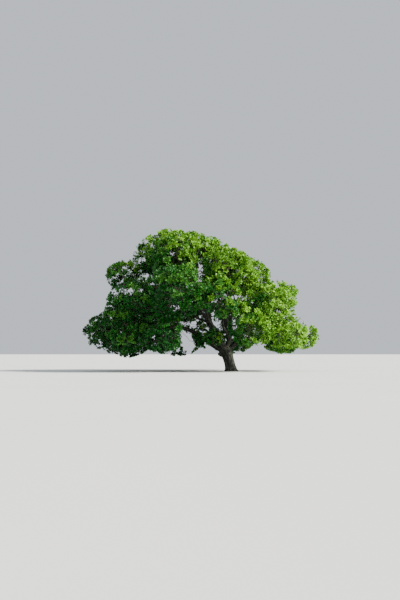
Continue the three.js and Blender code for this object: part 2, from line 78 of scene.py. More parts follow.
# The trunk: its radius half way up, how far the fork leans over, how much wider it is there, the buttresses
# of its foot, and how its top is rounded off. The burr: its radius, how much wider it starts, and its
# place.
TRUNK_RADIUS = 0.455
FORK_HEIGHT = 1.78
FORK_LEAN = -0.48
LEAN_CURVE = 1.25
FORK_WIDENING = 0.22
FLARE_RADIUS = 0.15
FLARE_HEIGHT = 0.26
BUTTRESS_COUNT = 5
BUTTRESS_DEPTH = 0.13
BUTTRESS_TURN = 0.6
TRUNK_TOP = 1.25
TRUNK_CROWN = 0.26
BURR_RADIUS = 0.2
BURR_SWELL = 1.5
BURR_PLACE = np.array([-0.95, -0.09, 1.44])

# The boughs: the radius of one that carries a single mass, its radius where it ends, how crooked it is, the
# collar at its foot, how wide it may be beside the bough it leaves, and how soon that one is thinner there.
BOUGH_RADIUS = 0.084
BOUGH_TIP_RADIUS = 0.034
CROOKEDNESS = 0.045
CROOK_WAVES = (7, 6)
COLLAR_SWELL = 0.22
COLLAR_LENGTH = 0.26
WIDEST_CHILD = 0.9
THINNING = (0.06, 0.14)

# The crown: its masses are ellipsoids on rings in five tiers. A tier has its name, the middle of its ring,
# its reach to the side and to the front, its height and how much that falls from left to right. A lobe has
# its name, its angle round the ring in degrees, its half width and its lift.
MASS_FLATNESS = 0.87
TIERS = (
    ("skirt", -2.45, 8.6, 5.3, 3.05, 0.0, (
        ("right", 0, 1.35, -0.1),
        ("right_back", 36, 1.9, 0.0),
        ("back_right", 72, 2.2, 0.2),
        ("back_left", 104, 2.3, 0.15),
        ("left_back", 140, 2.45, 0.2),
        ("left", 180, 1.65, 0.25),
        ("left_front", 220, 2.3, 0.25),
        ("front_left", 249, 1.7, -0.15),
        ("front_right", 296, 1.7, 0.4),
        ("right_front", 324, 1.75, -0.05),
    )),
    ("middle", -2.35, 6.8, 5.3, 6.0, 0.0, (
        ("right", 0, 1.45, 0.35),
        ("right_back", 38, 2.2, -0.3),
        ("back_right", 75, 2.3, 0.1),
        ("back_left", 112, 2.5, 0.3),
        ("left_back", 148, 2.25, -0.1),
        ("left", 180, 1.65, 2.0),
        ("left_front", 215, 2.35, -0.3),
        ("front_left", 252, 2.5, 0.5),
        ("front_right", 283, 1.7, -0.15),
        ("right_front", 322, 2.15, -0.6),
    )),
    ("upper", -2.45, 3.8, 3.2, 8.85, 1.85, (
        ("right", 0, 2.05, -0.05),
        ("back_right", 55, 2.3, 0.0),
        ("back_left", 125, 2.3, 0.0),
        ("left", 180, 1.95, 0.05),
        ("front_left", 235, 2.2, 0.0),
        ("front_right", 305, 2.2, 0.0),
    )),
    ("top", -3.35, 1.2, 0.0, 10.05, 0.5, (
        ("left", 180, 2.2, 0.0),
        ("right", 0, 2.25, -0.2),
    )),
    ("inner", -2.0, 0.0, 1.6, 2.75, 0.0, (
        ("front", 270, 1.25, 0.0),
    )),
)

# The boughs that shape the crown, in the order they grow: the mass each one feeds, the bough it leaves, how
# far along, its heading and climb in degrees there, and its climb where it arrives.
LEAD_BOUGHS = (
    ("middle_left", "trunk", 0.9, 176, 66, 12),
    ("upper_right", "trunk", 0.96, 350, 82, 70),
    ("skirt_left", "trunk", 0.8, 190, 42, -14),
    ("skirt_right", "trunk", 0.86, 350, 48, -6),
    ("top_right", "middle_left", 0.27, 150, 80, 84),
    ("middle_back_left", "middle_left", 0.12, 100, 45, 20),
    ("middle_back_right", "upper_right", 0.1, 70, 50, 15),
    ("middle_front_left", "middle_left", 0.3, 250, 50, 25),
    ("top_left", "top_right", 0.4, 185, 62, 70),
    ("upper_front_right", "upper_right", 0.24, 185, 40, 84),
)
LEAD_STEPS = 9
BOUGH_STEPS = 5
BOUGH_SPACING = 0.42
BOUGH_SHARES = (0.22, 0.88, 0.06)
TURN_TO_MASS = 1.4
TURN_UPWARDS = 0.35
ARRIVAL_CLIMB = 14
WAY_BACK = 1 / 3
ENTRY_SHARES = (0.63, 0.1, 0.05)
ENTRY_MARGIN = 0.12

# The main twigs of a mass: how many for each square metre of its half width squared, how far out they end,
# how far they sway, the radii of the stem and of a twig's end, and how far they stay from limbs and each
# other.
CLEARANCE = 0.0003
TWIGS_PER_SQUARE_METRE = 1
TWIG_REACH = (0.86, 0.3, 0.06)
TWIG_SWAY = 0.22
STEM_RADIUS = 0.034
STEM_BEND = 0.25
THINNEST_TWIG = 0.015
NECK_LENGTH = 0.07
TWIG_GAP = 0.045
WOOD_STEP = 0.08
ROOT_REACH = 0.16

# The sprays that stand round the main twigs. A spray fills the outline of one broad blade.
SPRAY_LENGTH = 1.35
SPRAY_SPREAD = 0.15
STANDARD_MASS = 2.0
SPRAY_HALF_WIDTH = 0.32
SPRAY_WIDEST = 0.45
SPRAY_THICKNESS = 0.045
FACING_OUTWARDS = 0.6
FACING_UPWARDS = 0.5
PLACES_AT_END = (0.97, 0.9, 0.8, 0.5)
PLACES_ALONG = (0.6,)
SPRAY_GAP = 0.025
LIMB_GAP = 0.05
SPACE_MARGIN = 0.025
LOWEST_SPRAY = 1.1
SPRAY_TRIES = [
    (turned, tilt, share) for share in (1, 0.8) for turned in (0, 50, -50) for tilt in (0.3, 0, -0.25)
]

# The finer twigs between the main ones: how far apart they end and how unevenly, how deep below the crown's
# surface, how they thin out within, how softly the masses run together, the clumps that they leave gaps
# between (none in the smallest masses), how far they sway, and their radii.
FINE_SPACING = 0.64
FINE_JITTER = 0.3
FINE_DEPTHS = (0.2, 1.3, 2.6)
FINE_SHARE_WITHIN = 0.3
MASS_SOFTNESS = 0.5
CLUMP_SIZE = 1.25
CLUMP_GAP = 0.26
CLUMP_SEED = 21
SOLID_MASS = (1.5, 2.1)
FINE_SWAY = 0.3
FINE_RADII = (0.013, 0.007)

# The shoots that carry the leaves: their length, radii, bend and rise, how much shorter they are at the
# crown's surface, and how many a spray and a fine twig have. Those of a spray stand along its midrib, and
# those of a fine twig open into a fan that hangs in the lowest part of the crown.
SHOOT_LENGTH = 0.4
SHOOT_SPREAD = 0.4
SHOOT_RADII = (0.006, 0.002)
SHOOT_BEND = 0.16
SHOOT_RISE = 0.05
SHORTENED = 0.5
SPRAY_SHOOTS = 8
FINE_SHOOTS = 7
MIDRIB_LENGTH = 0.88
MIDRIB_RADII = (0.011, 0.004)
FIRST_ON_MIDRIB = 0.6
SHOOT_FORWARD = 0.75
SHOOT_SIDEWAYS = 0.8
SHOOT_LEAN = 0.35
SHOOT_OUTWARDS = 0.6
FAN_OPENING = (0.25, 1.6)
FAN_STRETCH = 0.85
HANGING_BELOW = (1.2, 3.4)
SHOOT_LIFT = (-0.6, 0.3)

# The leaves: how many on a shoot, their length, where the first one sits and how they crowd towards its end,
# the outline of half a leaf as shares of its length along and across, from the foot to the tip, its fold,
# which way it points and faces, and how far it may stand out of the crown.
LEAVES_ON_SHOOT = 11
LEAF_LENGTH = 0.184
LEAF_LENGTH_SPREAD = 0.25
FIRST_LEAF = 0.2
LEAF_CROWDING = 0.8
LEAF_HALF = ((0.0, 0.0), (0.26, 0.23), (0.7, 0.3), (1.0, 0.0))
LEAF_FOLD = 0.35
LEAF_ALONG_SHOOT = (0.35, 1.0)
LEAF_UNEVENNESS = 0.22
LEAF_DROOP = 0.12
LEAF_UPWARDS = 0.75
LEAF_OUTWARDS = 0.8
SPRAY_TILT = 0.35
LEAF_TILT = 0.45
LEAF_OUTREACH = 0.04
LEAF_TO_LIMB = 0.02
CROWN_HEART = np.array([-2.4, 0.0, 4.2])

# Where sky shows through the crown from the front: ellipses in the upright plane of the trunk, with their
# middle and half sizes, to the right and up. They run through the crown in line with the camera. Main twigs
# and sprays keep out of the openings, and small growth also out of the flecks, across a ragged edge.
OPENINGS = (
    (-3.7, 2.4, 0.6, 1.15),
    (-3.25, 4.0, 0.4, 0.25),
    (-1.2, 4.0, 0.25, 0.85),
    (-2.7, 8.5, 0.15, 0.8),
    (0.5, 6.3, 0.9, 0.2),
)
SKY_FLECKS = (
    (-9.0, 6.8, 1.2, 0.3),
    (1.0, 6.05, 0.5, 0.18),
    (-0.9, 6.5, 0.3, 0.15),
    (-9.8, 6.5, 0.2, 0.25),
    (-4.8, 5.35, 0.5, 0.28),
    (0.3, 3.8, 0.25, 0.3),
    (-3.22, 4.02, 0.35, 0.3),
    (-1.0, 3.9, 0.25, 0.55),
    (-2.54, 8.8, 0.2, 0.65),
    (-0.4, 6.45, 0.35, 0.18),
    (-1.6, 4.6, 0.18, 0.38),
    (-5.0, 10.0, 0.22, 0.25),
    (-6.6, 10.6, 0.2, 0.22),
    (4.0, 5.1, 0.2, 0.22),
    (5.1, 4.8, 0.15, 0.35),
    (-7.4, 9.45, 0.2, 0.2),
    (-10.1, 4.4, 0.16, 0.22),
    (-1.2, 6.6, 0.2, 0.2),
    (0.3, 8.45, 0.2, 0.12),
    (-9.3, 3.4, 0.16, 0.2),
    (3.9, 7.1, 0.16, 0.16),
    (-1.6, 2.15, 0.25, 0.15),
)
GAP_EDGE_SIZE = 0.22
GAP_EDGE_DEPTH = 1.0
GAP_EDGE_SEED = 31
OPENING_SHARE = 0.9
OPENING_EDGE = (1.1, 0.5)
FLECK_SHARE = 0.7
FLECK_EDGE = (1.3, 0.6)

# The bark: the size of a voxel of its skin, how often that is smoothed, which share of its faces is kept, how
# deep its furrows are, how wide and long the plates between them are, how thick a limb has full furrows, and
# the uneven swelling under them.
BARK_VOXEL = 0.022
BARK_SMOOTHING = 5
BARK_FACES_KEPT = 0.38
FURROW_DEPTH = 0.03
PLATE_WIDTH = 0.075
PLATE_LENGTH = 0.3
FULL_FURROWS_AT = 0.3
SHALLOWEST_FURROWS = 0.08
FURROW_MIDDLE = 0.25
FURROW_BEND = 1.2
FINE_FURROWS = 2.1
FURROW_SHARES = (0.65, 0.35)
SWELLING_DEPTH = 0.03
SWELLING_SCALE = np.array([2.2, 2.2, 1.3])
WANDER_SEEDS = (1, 2, 3)
FURROW_SEEDS = (4, 5)
SWELLING_SEED = 9

# The skins that the bark is grown from: their sides and rings, and the swollen foot of a bough.
TRUNK_SIDES = 72
TRUNK_RINGS = (-0.08, *np.linspace(0, 1, 26), *np.linspace(1.03, TRUNK_TOP, 8))
LIMB_SIDES = 20
LIMB_RING_STEP = 0.12
LIMB_SAMPLE_STEP = 0.07
LIMB_APART = 40.0
FOOT_SWELL = 0.3
FOOT_LENGTH = 0.2
SKIN_EXTRA = 0.004
BURR_RINGS = 9
BURR_END = 0.47 * math.pi

# The tones of green, which paint the crown's sunlight and shade: the piece of each, its share of the leaves,
# and the two colours it is mixed from. A spray gets a lighter tone of painted sunlight near the outside of
# its mass, far from the crown's heart, high up, to the right and on the upper right of its own mass, and a
# darker tone of painted shade elsewhere; chance mixes the tones a little.
LEAF_TONES = (
    ("leaves_shade", 0.23, (0.001, 0.052, 0.003), (0.004, 0.085, 0.005)),
    ("leaves_deep", 0.23, (0.005, 0.085, 0.004), (0.014, 0.125, 0.006)),
    ("leaves_green", 0.2, (0.024, 0.135, 0.007), (0.042, 0.18, 0.01)),
    ("leaves_fresh", 0.18, (0.084, 0.245, 0.008), (0.118, 0.3, 0.012)),
    ("leaves_bright", 0.16, (0.145, 0.355, 0.012), (0.19, 0.42, 0.02)),
)
TONE_WEIGHTS = {"outer": 0.3, "rim": 0.55, "height": 0.1, "side": 0.5, "sunny": 0.34}
TONE_CHANCE = 0.1
CROWN_REACH = np.array([10.0, 30.0, 7.6])
CROWN_HEIGHTS = (1.5, 11.5)
CROWN_SIDES = (-10, 5)
SUNNY_UPWARDS = 0.4
SUNNY_RIGHTWARDS = 0.35


def random_from(seed):
    """Small repeatable random numbers from a whole-number seed."""
    state = seed & WORD

    def draw():
        nonlocal state
        state = (state + 0x6D2B79F5) & WORD
        mixed = ((state ^ (state >> 15)) * (state | 1)) & WORD
        mixed ^= (mixed + (mixed ^ (mixed >> 7)) * (mixed | 61)) & WORD
        return (mixed ^ (mixed >> 14)) / (WORD + 1)

    return draw


def mix(a, b, share):
    return a + (b - a) * share


def smooth_step(low, high, value):
    share = np.clip((value - low) / (high - low), 0, 1)
    return share * share * (3 - 2 * share)


def lengths(vectors):
    return np.linalg.norm(vectors, axis=-1)


def unit(vectors):
    """The same vectors with length one."""
    return vectors / np.maximum(lengths(vectors), 1e-9)[..., None]


def distance(a, b):
    return float(np.linalg.norm(a - b))


def direction(heading, climb):
    """A direction from its heading round the tree and its climb above the horizon, in degrees."""
    flat = math.cos(math.radians(climb))
    turn = math.radians(heading)
    return np.array([flat * math.cos(turn), flat * math.sin(turn), math.sin(math.radians(climb))])


def empty_list():
    return field(default_factory=list)


@dataclass
class Mass:
    """A mass of foliage: an ellipsoid of a half width round a centre."""

    name: str
    index: int
    seed: int
    radius: float
    centre: np.ndarray


@dataclass(eq=False)
class Bough:
    """A limb: its middle line at a few steps and as a rule, and what it carries."""

    name: str
    mass: Mass
    parent: "Bough"
    share: float
    line: np.ndarray
    line_at: object
    back: float
    starts: list = empty_list()
    children: list = empty_list()
    load: int = 1


@dataclass(eq=False)
class Twig:
    """A joint in the wood of a mass, with the way from its parent's place to its own."""

    place: np.ndarray
    parent: "Twig"
    back: float
    load: int = 1
    radius: float = 0.0
    children: list = empty_list()


def crown_masses():
    made = []
    for tier, middle, reach, depth, height, tilt, lobes in TIERS:
        for lobe, angle, width, lift in lobes:
            turn = math.radians(angle)
            centre = np.array([
                middle + reach * math.cos(turn),
                depth * math.sin(turn),
                height + lift - tilt / 2 * math.cos(turn),
            ])
            made.append(Mass(f"{tier}_{lobe}", len(made), 1000 + 17 * len(made), width, centre))
    return made


MASSES = crown_masses()
FOLIAGE = ["foliage_" + mass.name for mass in MASSES]
CENTRES = np.array([mass.centre for mass in MASSES])
RADII = np.array([mass.radius for mass in MASSES])
FLATTENING = np.array([1.0, 1.0, MASS_FLATNESS])
SPREADS = lengths((CENTRES[:, None] - CENTRES[None]) / FLATTENING)


def powers(points):
    """How far points lie from each mass, as powers: negative inside, least at the centre."""
    away = (np.atleast_2d(points)[:, None] - CENTRES[None]) / FLATTENING
    return (away**2).sum(2) - RADII**2


def in_own_space(mass, points, margin):
    """Whether points lie in a mass's own space, at least a margin from its neighbours'."""
    power = powers(points)
    own = power[:, mass.index]
    gaps = power - own[:, None] - 2 * margin * SPREADS[mass.index]
    gaps[:, mass.index] = 0
    return (own <= 0) & (gaps >= 0).all(1)


def crown_depth(points):
    """How deep points lie below the crown's surface, where its masses run together softly."""
    depths = RADII - lengths((points[:, None] - CENTRES[None]) / FLATTENING)
    return MASS_SOFTNESS * np.log(np.exp(depths / MASS_SOFTNESS).sum(1))


def in_opening(points):
    """Whether points lie in line with an opening."""
    return opening_reach(np.atleast_2d(points), OPENINGS)[0] < 1


def opening_reach(points, openings):
    """How far points lie from the nearest opening, as a share of its size, and where the view sees them."""
    share = VIEW_PLACE[1] / (VIEW_PLACE[1] - points[:, 1:2])
    seen = VIEW_PLACE + (points - VIEW_PLACE) * share
    reach = np.full(len(points), np.inf)
    for x, z, half_width, half_height in openings:
        away = np.hypot((seen[:, 0] - x) / half_width, (seen[:, 2] - z) / half_height)
        reach = np.minimum(reach, away)
    return reach, seen


def left_for_sky(points, rng):
    """Which small growth at points is left out, so that the front view shows sky there."""
    reach, seen = opening_reach(points, OPENINGS)
    fleck_reach, _ = opening_reach(points, SKY_FLECKS)
    flat = np.stack([seen[:, 0], np.zeros(len(points)), seen[:, 2]], 1)
    ragged = GAP_EDGE_DEPTH * (soft_noise(flat / GAP_EDGE_SIZE, GAP_EDGE_SEED) - 0.5)
    share = OPENING_SHARE * smooth_step(*OPENING_EDGE, reach + ragged)
    share = np.maximum(share, FLECK_SHARE * smooth_step(*FLECK_EDGE, fleck_reach + ragged))
    return rng.uniform(0, 1, len(points)) < share


def trunk_middle(z):
    return np.array([FORK_LEAN * (max(z, 0) / FORK_HEIGHT) ** LEAN_CURVE, 0, z])


def trunk_radius_at(z, turn):
    foot = np.exp(-z / FLARE_HEIGHT)
    fork = np.clip(z / FORK_HEIGHT, 0, 1) ** 3
    buttress = 1 + BUTTRESS_DEPTH * foot * np.cos(BUTTRESS_COUNT * turn + BUTTRESS_TURN)
    return (TRUNK_RADIUS + FLARE_RADIUS * foot) * buttress * (1 + FORK_WIDENING * fork * np.cos(turn) ** 2)


def bough_line(start, leaving, end, arriving, random):
    """The middle line of a bough as a rule: a smooth sweep between two points, crooked by slow waves."""
    span = distance(start, end)
    across = unit(np.cross(leaving, UP))
    over = unit(np.cross(across, leaving))
    phases = [2 * math.pi * random(), 2 * math.pi * random()]

    def at(shares):
        t = np.asarray(shares, float)[:, None]
        wave = CROOKEDNESS * span * np.sin(np.pi * t)
        return (
            start * (1 - 3 * t**2 + 2 * t**3)
            + leaving * span * (t - 2 * t**2 + t**3)
            + end * (3 * t**2 - 2 * t**3)
            + arriving * span * (t**3 - t**2)
            + across * wave * np.sin(phases[0] + CROOK_WAVES[0] * t)
            + over * wave * np.cos(phases[1] + CROOK_WAVES[1] * t)
        )

    return at


def along(line, share):
    """A point a share of the way along a line of points, and the direction there."""
    place = min(max(share, 0), 1) * (len(line) - 1)
    step = min(int(place), len(line) - 2)
    return mix(line[step], line[step + 1], place - step), unit(line[step + 1] - line[step])


def line_length(line):
    return float(lengths(np.diff(line, axis=0)).sum())


def falling(first, last, step):
    """Numbers from the first down to just above the last."""
    while first > last:
        yield first
        first -= step


def entry_point(mass, start):
    """Where a bough ends: inside its mass, on the side that it comes from."""
    inward = unit(start - mass.centre)
    for share in falling(*ENTRY_SHARES):
        point = mass.centre + inward * share * mass.radius
        if in_own_space(mass, point, ENTRY_MARGIN)[0]:
            return point
    return mass.centre.copy()


def grow_boughs():
    """The boughs: first the ones that shape the crown, then one to each mass that is left, nearest first."""
    heights = [FORK_HEIGHT * i / 8 for i in range(9)]
    grown = [Bough("trunk", None, None, 0, np.array([trunk_middle(z) for z in heights]), None, 0.0)]

    def named(name):
        return next((bough for bough in grown if bough.name == name), None)

    def way_along(bough, share):
        return bough.back + share * line_length(bough.line)

    def grow(mass, parent, share, leaving, arrives, steps):
        start, heading = along(parent.line, share)
        end = entry_point(mass, start)
        bearing = math.degrees(math.atan2(end[1] - start[1], end[0] - start[0]))
        arriving = direction(bearing, arrives)
        rule = bough_line(start, leaving(start, heading, end), end, arriving, random_from(mass.seed))
        parent.starts.append(start)
        line = rule(np.linspace(0, 1, steps + 1))
        grown.append(Bough(mass.name, mass, parent, share, line, rule, way_along(parent, share)))

    by_name = {mass.name: mass for mass in MASSES}
    for name, parent, share, heading, climb, arrives in LEAD_BOUGHS:
        leaving = direction(heading, climb)
        grow(by_name[name], named(parent), share, lambda *_, leaving=leaving: leaving, arrives, LEAD_STEPS)

    def turned_to_mass(start, heading, end):
        return unit(heading + unit(end - start) * TURN_TO_MASS + UP * TURN_UPWARDS)

    def ways_between(parent, mass):
        share, last, step = BOUGH_SHARES
        while share <= last:
            point = along(parent.line, share)[0]
            if all(distance(start, point) >= BOUGH_SPACING for start in parent.starts):
                cost = distance(point, mass.centre) + WAY_BACK * way_along(parent, share)
                yield cost, mass, parent, share
            share += step

    waiting = [mass for mass in MASSES if not named(mass.name)]
    while waiting:
        ways = (way for mass in waiting for parent in grown[1:] for way in ways_between(parent, mass))
        _, mass, parent, share = min(ways, key=lambda way: way[0])
        grow(mass, parent, share, turned_to_mass, ARRIVAL_CLIMB, BOUGH_STEPS)
        waiting.remove(mass)
    for bough in reversed(grown[1:]):
        bough.parent.load += bough.load
        bough.parent.children.insert(0, bough)
    return grown


def bough_radius_at(bough, share):
    """A bough's radius a share of the way along: its wood matches the wood that it feeds from there on."""
    carried = mix(1, (BOUGH_TIP_RADIUS / BOUGH_RADIUS) ** 2, share)
    for child in bough.children:
        carried += child.load * (1 - smooth_step(child.share - THINNING[0], child.share + THINNING[1], share))
    collar = COLLAR_SWELL * math.exp(-share * line_length(bough.line) / COLLAR_LENGTH)
    radius = BOUGH_RADIUS * math.sqrt(carried) * (1 + collar)
    if bough.parent.parent:
        radius = min(radius, WIDEST_CHILD * bough_radius_at(bough.parent, bough.share))
    return radius


def wood_points(a, b):
    """Points spaced evenly along a stretch of wood."""
    count = math.ceil(distance(a, b) / WOOD_STEP)
    return mix(a, b, np.linspace(0, 1, count + 1)[:, None])


def bark_points(boughs):
    """Points along the trunk and all boughs, each with the radius there."""
    places, radii = [], []
    for bough in boughs:
        steps = len(bough.line) - 1
        for i in range(steps):
            points = wood_points(bough.line[i], bough.line[i + 1])
            radius = bough_radius_at(bough, i / steps) if bough.mass else trunk_radius_at(bough.line[i][2], 0)
            places.append(points)
            radii.append(np.full(len(points), radius))
    return np.concatenate(places), np.concatenate(radii)


def even_directions(count, phase):
    """A number of directions spread evenly all round, turned by a phase."""
    i = np.arange(count)
    rise = 1 - (2 * i + 1) / count
    flat = np.sqrt(1 - rise**2)
    turn = phase + i * GOLDEN_TURN
    return np.stack([flat * np.cos(turn), flat * np.sin(turn), rise], 1)


def twig_end(mass, outward):
    """A main twig's end: as near to its mass's surface as its own space and the openings let it come."""
    for share in falling(*TWIG_REACH):
        point = mass.centre + outward * FLATTENING * share * mass.radius
        if point[2] < LOWEST_SPRAY or in_opening(point)[0]:
            continue
        if in_own_space(mass, point, 2 * SPACE_MARGIN)[0]:
            return point
    return None


def way_clear(start, end, limbs, wood):
    """Whether a twig can run from one place to another without touching a limb or another twig."""
    points = wood_points(start, end)[1:]
    places, radii = limbs
    if (lengths(points[:, None] - places) <= radii + TWIG_GAP).any():
        return False
    distant = wood[lengths(wood - start) >= ROOT_REACH]
    return not (lengths(points[:, None] - distant) <= TWIG_GAP).any()


def add_twig(nodes, place, parent):
    node = Twig(place, parent, parent.back + distance(parent.place, place))
    nodes.append(node)
    parent.children.append(node)
    return node


def grow_twigs(mass, bough, limbs, random):
    """The wood of a mass: a stem from the bough's tip to its heart, and twigs to even places on its surface.
    A twig leaves the nearest wood already there, counting a share of the way back to the bough."""
    tip, heading = along(bough.line, 1)
    nodes = [Twig(tip + heading * CLEARANCE, None, 0.0)]
    root = nodes[0]
    neck = add_twig(nodes, root.place + heading * NECK_LENGTH, root)
    inward = mass.centre - root.place
    onward = heading * np.linalg.norm(inward) + inward
    knee = add_twig(nodes, neck.place + onward * STEM_BEND, neck)
    add_twig(nodes, mass.centre.copy(), knee)
    wood = np.concatenate([wood_points(node.parent.place, node.place) for node in nodes[1:]])
    count = int(TWIGS_PER_SQUARE_METRE * mass.radius**2 + 0.5)
    outwards = even_directions(count, 2 * math.pi * random())
    ends = [end for end in (twig_end(mass, outward) for outward in outwards) if end is not None]
    ends.sort(key=lambda end: distance(end, root.place))
    for end in ends:
        sway = np.array([random() - 0.5, random() - 0.5, random() - 0.3]) * TWIG_SWAY
        best = None
        for node in nodes[2:]:
            way = distance(node.place, end)
            cost = way + WAY_BACK * node.back
            middle = mix(node.place, end, 0.5) + sway * way
            if best and cost >= best[0]:
                continue
            if way_clear(node.place, middle, limbs, wood) and way_clear(middle, end, limbs, wood):
                best = (cost, node, middle)
        if best:
            _, node, middle = best
            halfway = add_twig(nodes, middle, node)
            add_twig(nodes, end, halfway)
            wood = np.concatenate([wood, wood_points(node.place, middle), wood_points(middle, end)])
    for node in reversed(nodes[1:]):
        node.parent.load += node.load
    for node in nodes:
        node.children.sort(key=lambda child: -child.load)
        node.radius = mix(THINNEST_TWIG, STEM_RADIUS, math.sqrt((node.load - 1) / (root.load - 1)))
    return nodes, wood


@dataclass(eq=False)
class Blade:
    """The outline that one spray fills: its foot, directions, length and edge points."""

    base: np.ndarray
    forward: np.ndarray
    facing: np.ndarray
    across: np.ndarray
    length: float
    corners: np.ndarray
    probes: np.ndarray


def blade_at(base, forward, outward, length):
    facing = outward * FACING_OUTWARDS + UP * FACING_UPWARDS
    facing = unit(facing - forward * facing.dot(forward))
    across = np.cross(facing, forward)
    middle = base + forward * SPRAY_WIDEST * length
    half_width = across * SPRAY_HALF_WIDTH * length
    ring = [middle + facing * SPRAY_THICKNESS, middle + half_width, middle - half_width]
    tip = base + forward * length
    probes = [point for corner in ring for point in (corner, mix(corner, tip, 0.5), mix(corner, base, 0.5))]
    corners = np.array([*ring, tip])
    return Blade(base, forward, facing, across, length, corners, np.array([*probes, middle, tip]))


def near_blade(blade, points, gap):
    """Whether points come nearer to a spray's blade than a gap."""
    away = points - blade.base
    reach = away @ blade.forward / blade.length
    taper = np.where(reach < SPRAY_WIDEST, reach / SPRAY_WIDEST, (1 - reach) / (1 - SPRAY_WIDEST))
    half_width = np.maximum(taper, 0) * SPRAY_HALF_WIDTH * blade.length
    over = away @ blade.facing
    within = (reach * blade.length > -gap) & ((reach - 1) * blade.length < gap)
    within &= np.abs(away @ blade.across) < half_width + gap
    return within & (over > -gap) & (over < SPRAY_THICKNESS + gap)


def blade_fits(mass, blade, limbs, wood, others):
    """Whether a spray stays in its mass's own space, out of the openings, and clear of wood and others."""
    if (blade.corners[:, 2] <= LOWEST_SPRAY).any() or in_opening(blade.probes).any():
        return False
    if not in_own_space(mass, blade.corners, SPACE_MARGIN).all():
        return False
    places, radii = limbs
    if near_blade(blade, places, radii + LIMB_GAP).any():
        return False
    distant = wood[lengths(wood - blade.base) > ROOT_REACH]
    if near_blade(blade, distant, STEM_RADIUS + SPRAY_GAP).any():
        return False
    return not any(
        near_blade(other, blade.probes, SPRAY_GAP).any() or near_blade(blade, other.probes, SPRAY_GAP).any()
        for other in others
    )


def turned_round(vector, axis, turn):
    """A vector at a right angle to an axis, turned round that axis."""
    return vector * math.cos(turn) + np.cross(axis, vector) * math.sin(turn)


def grow_sprays(mass, nodes, limbs, wood, random):
    """The sprays of a mass: a rosette round the end of each main twig and others along it."""
    blades = []
    for node in nodes[4:]:
        heading = unit(node.place - node.parent.place)
        side = unit(np.cross(heading, UP))
        turn = 2 * math.pi * random()
        for place in PLACES_ALONG if node.children else PLACES_AT_END:
            base = mix(node.parent.place, node.place, place)
            outward = unit(base - mass.centre)
            size = mix(1 - SPRAY_SPREAD, 1 + SPRAY_SPREAD, random()) * math.sqrt(mass.radius / STANDARD_MASS)
            turn += GOLDEN_TURN
            for turned, tilt, share in SPRAY_TRIES:
                forward = unit(turned_round(side, heading, turn + math.radians(turned)) + heading * tilt)
                blade = blade_at(base, forward, outward, share * size * SPRAY_LENGTH)
                if blade_fits(mass, blade, limbs, wood, blades):
                    blades.append(blade)
                    break
    return blades


def fine_twig_ends(rng):
    """Where the fine twigs end: spread evenly through the crown, fewer within it and none between clumps."""
    low = (CENTRES - RADII[:, None]).min(0)
    high = (CENTRES + RADII[:, None]).max(0)
    axes = [np.arange(a, b, FINE_SPACING) for a, b in zip(low, high)]
    ends = np.stack(np.meshgrid(*axes, indexing="ij"), -1).reshape(-1, 3)
    ends += rng.uniform(-FINE_JITTER, FINE_JITTER, ends.shape)
    depth = crown_depth(ends)
    least, shell, heart = FINE_DEPTHS
    share = mix(1, FINE_SHARE_WITHIN, smooth_step(shell, heart, depth))
    keep = (depth > least) & (rng.uniform(0, 1, len(ends)) < share) & (ends[:, 2] > LOWEST_SPRAY)
    broad = smooth_step(*SOLID_MASS, RADII[powers(ends).argmin(1)])
    keep &= soft_noise((ends - low) / CLUMP_SIZE, CLUMP_SEED) > CLUMP_GAP * broad
    keep &= ~left_for_sky(ends, rng)
    return ends[keep]


def grow_fine_twigs(nodes, ends, limbs, rng):
    """Finer twigs that fill the mass, each grown from the wood already there that is nearest."""
    root = nodes[0]
    places, radii = limbs
    ends = ends[(lengths(ends[:, None] - places) > radii + TWIG_GAP).all(1)]
    ends = ends[lengths(ends - root.place).argsort()]
    fine = []
    for end in ends:
        known = nodes[2:] + fine
        starts = np.array([node.place for node in known])
        backs = np.array([node.back for node in known])
        ways = lengths(starts - end)
        parent = known[int((ways + WAY_BACK * backs).argmin())]
        way = distance(parent.place, end)
        sway = rng.uniform(-0.5, 0.5, 3) * FINE_SWAY * way
        halfway = add_twig(fine, mix(parent.place, end, 0.5) + sway, parent)
        add_twig(fine, end, halfway)
    for node in fine:
        node.radius = FINE_RADII[0] if node.children else FINE_RADII[1]
    return fine


def spray_shoots(blade, rng):
    """The shoots of a spray: they leave a midrib on both sides in turn and reach the blade's outline."""
    numbers = np.arange(SPRAY_SHOOTS)
    shares = (numbers + FIRST_ON_MIDRIB) / SPRAY_SHOOTS
    sides = np.where(numbers % 2, 1.0, -1.0)[:, None]
    starts = blade.base + blade.forward * (MIDRIB_LENGTH * shares * blade.length)[:, None]
    lean = rng.uniform(-SHOOT_LEAN, SHOOT_LEAN, (SPRAY_SHOOTS, 1))
    sideways = blade.across * sides * SHOOT_SIDEWAYS
    headings = unit(blade.forward * SHOOT_FORWARD + sideways + blade.facing * lean)
    headings[-1] = unit(blade.forward + blade.facing * lean[-1])
    return starts, headings


def twig_shoots(node, mass, rng):
    """The shoots at the end of a fine twig: a fan that spreads outwards round its heading."""
    lift = mix(*SHOOT_LIFT, smooth_step(*HANGING_BELOW, node.place[2]))
    outward = SHOOT_OUTWARDS * unit(node.place - mass.centre)
    heading = unit(unit(node.place - node.parent.place) + outward + lift * UP)
    side = unit(np.cross(heading, NEARLY_UP))
    turns = rng.uniform(0, 2 * math.pi) + GOLDEN_TURN * np.arange(FINE_SHOOTS)
    rounds = np.outer(np.cos(turns), side) + np.outer(np.sin(turns), np.cross(heading, side))
    headings = unit(heading + rounds * np.linspace(*FAN_OPENING, FINE_SHOOTS)[:, None])
    back = rng.uniform(0, FAN_STRETCH, FINE_SHOOTS)[:, None]
    return mix(node.place, node.parent.place, back), headings


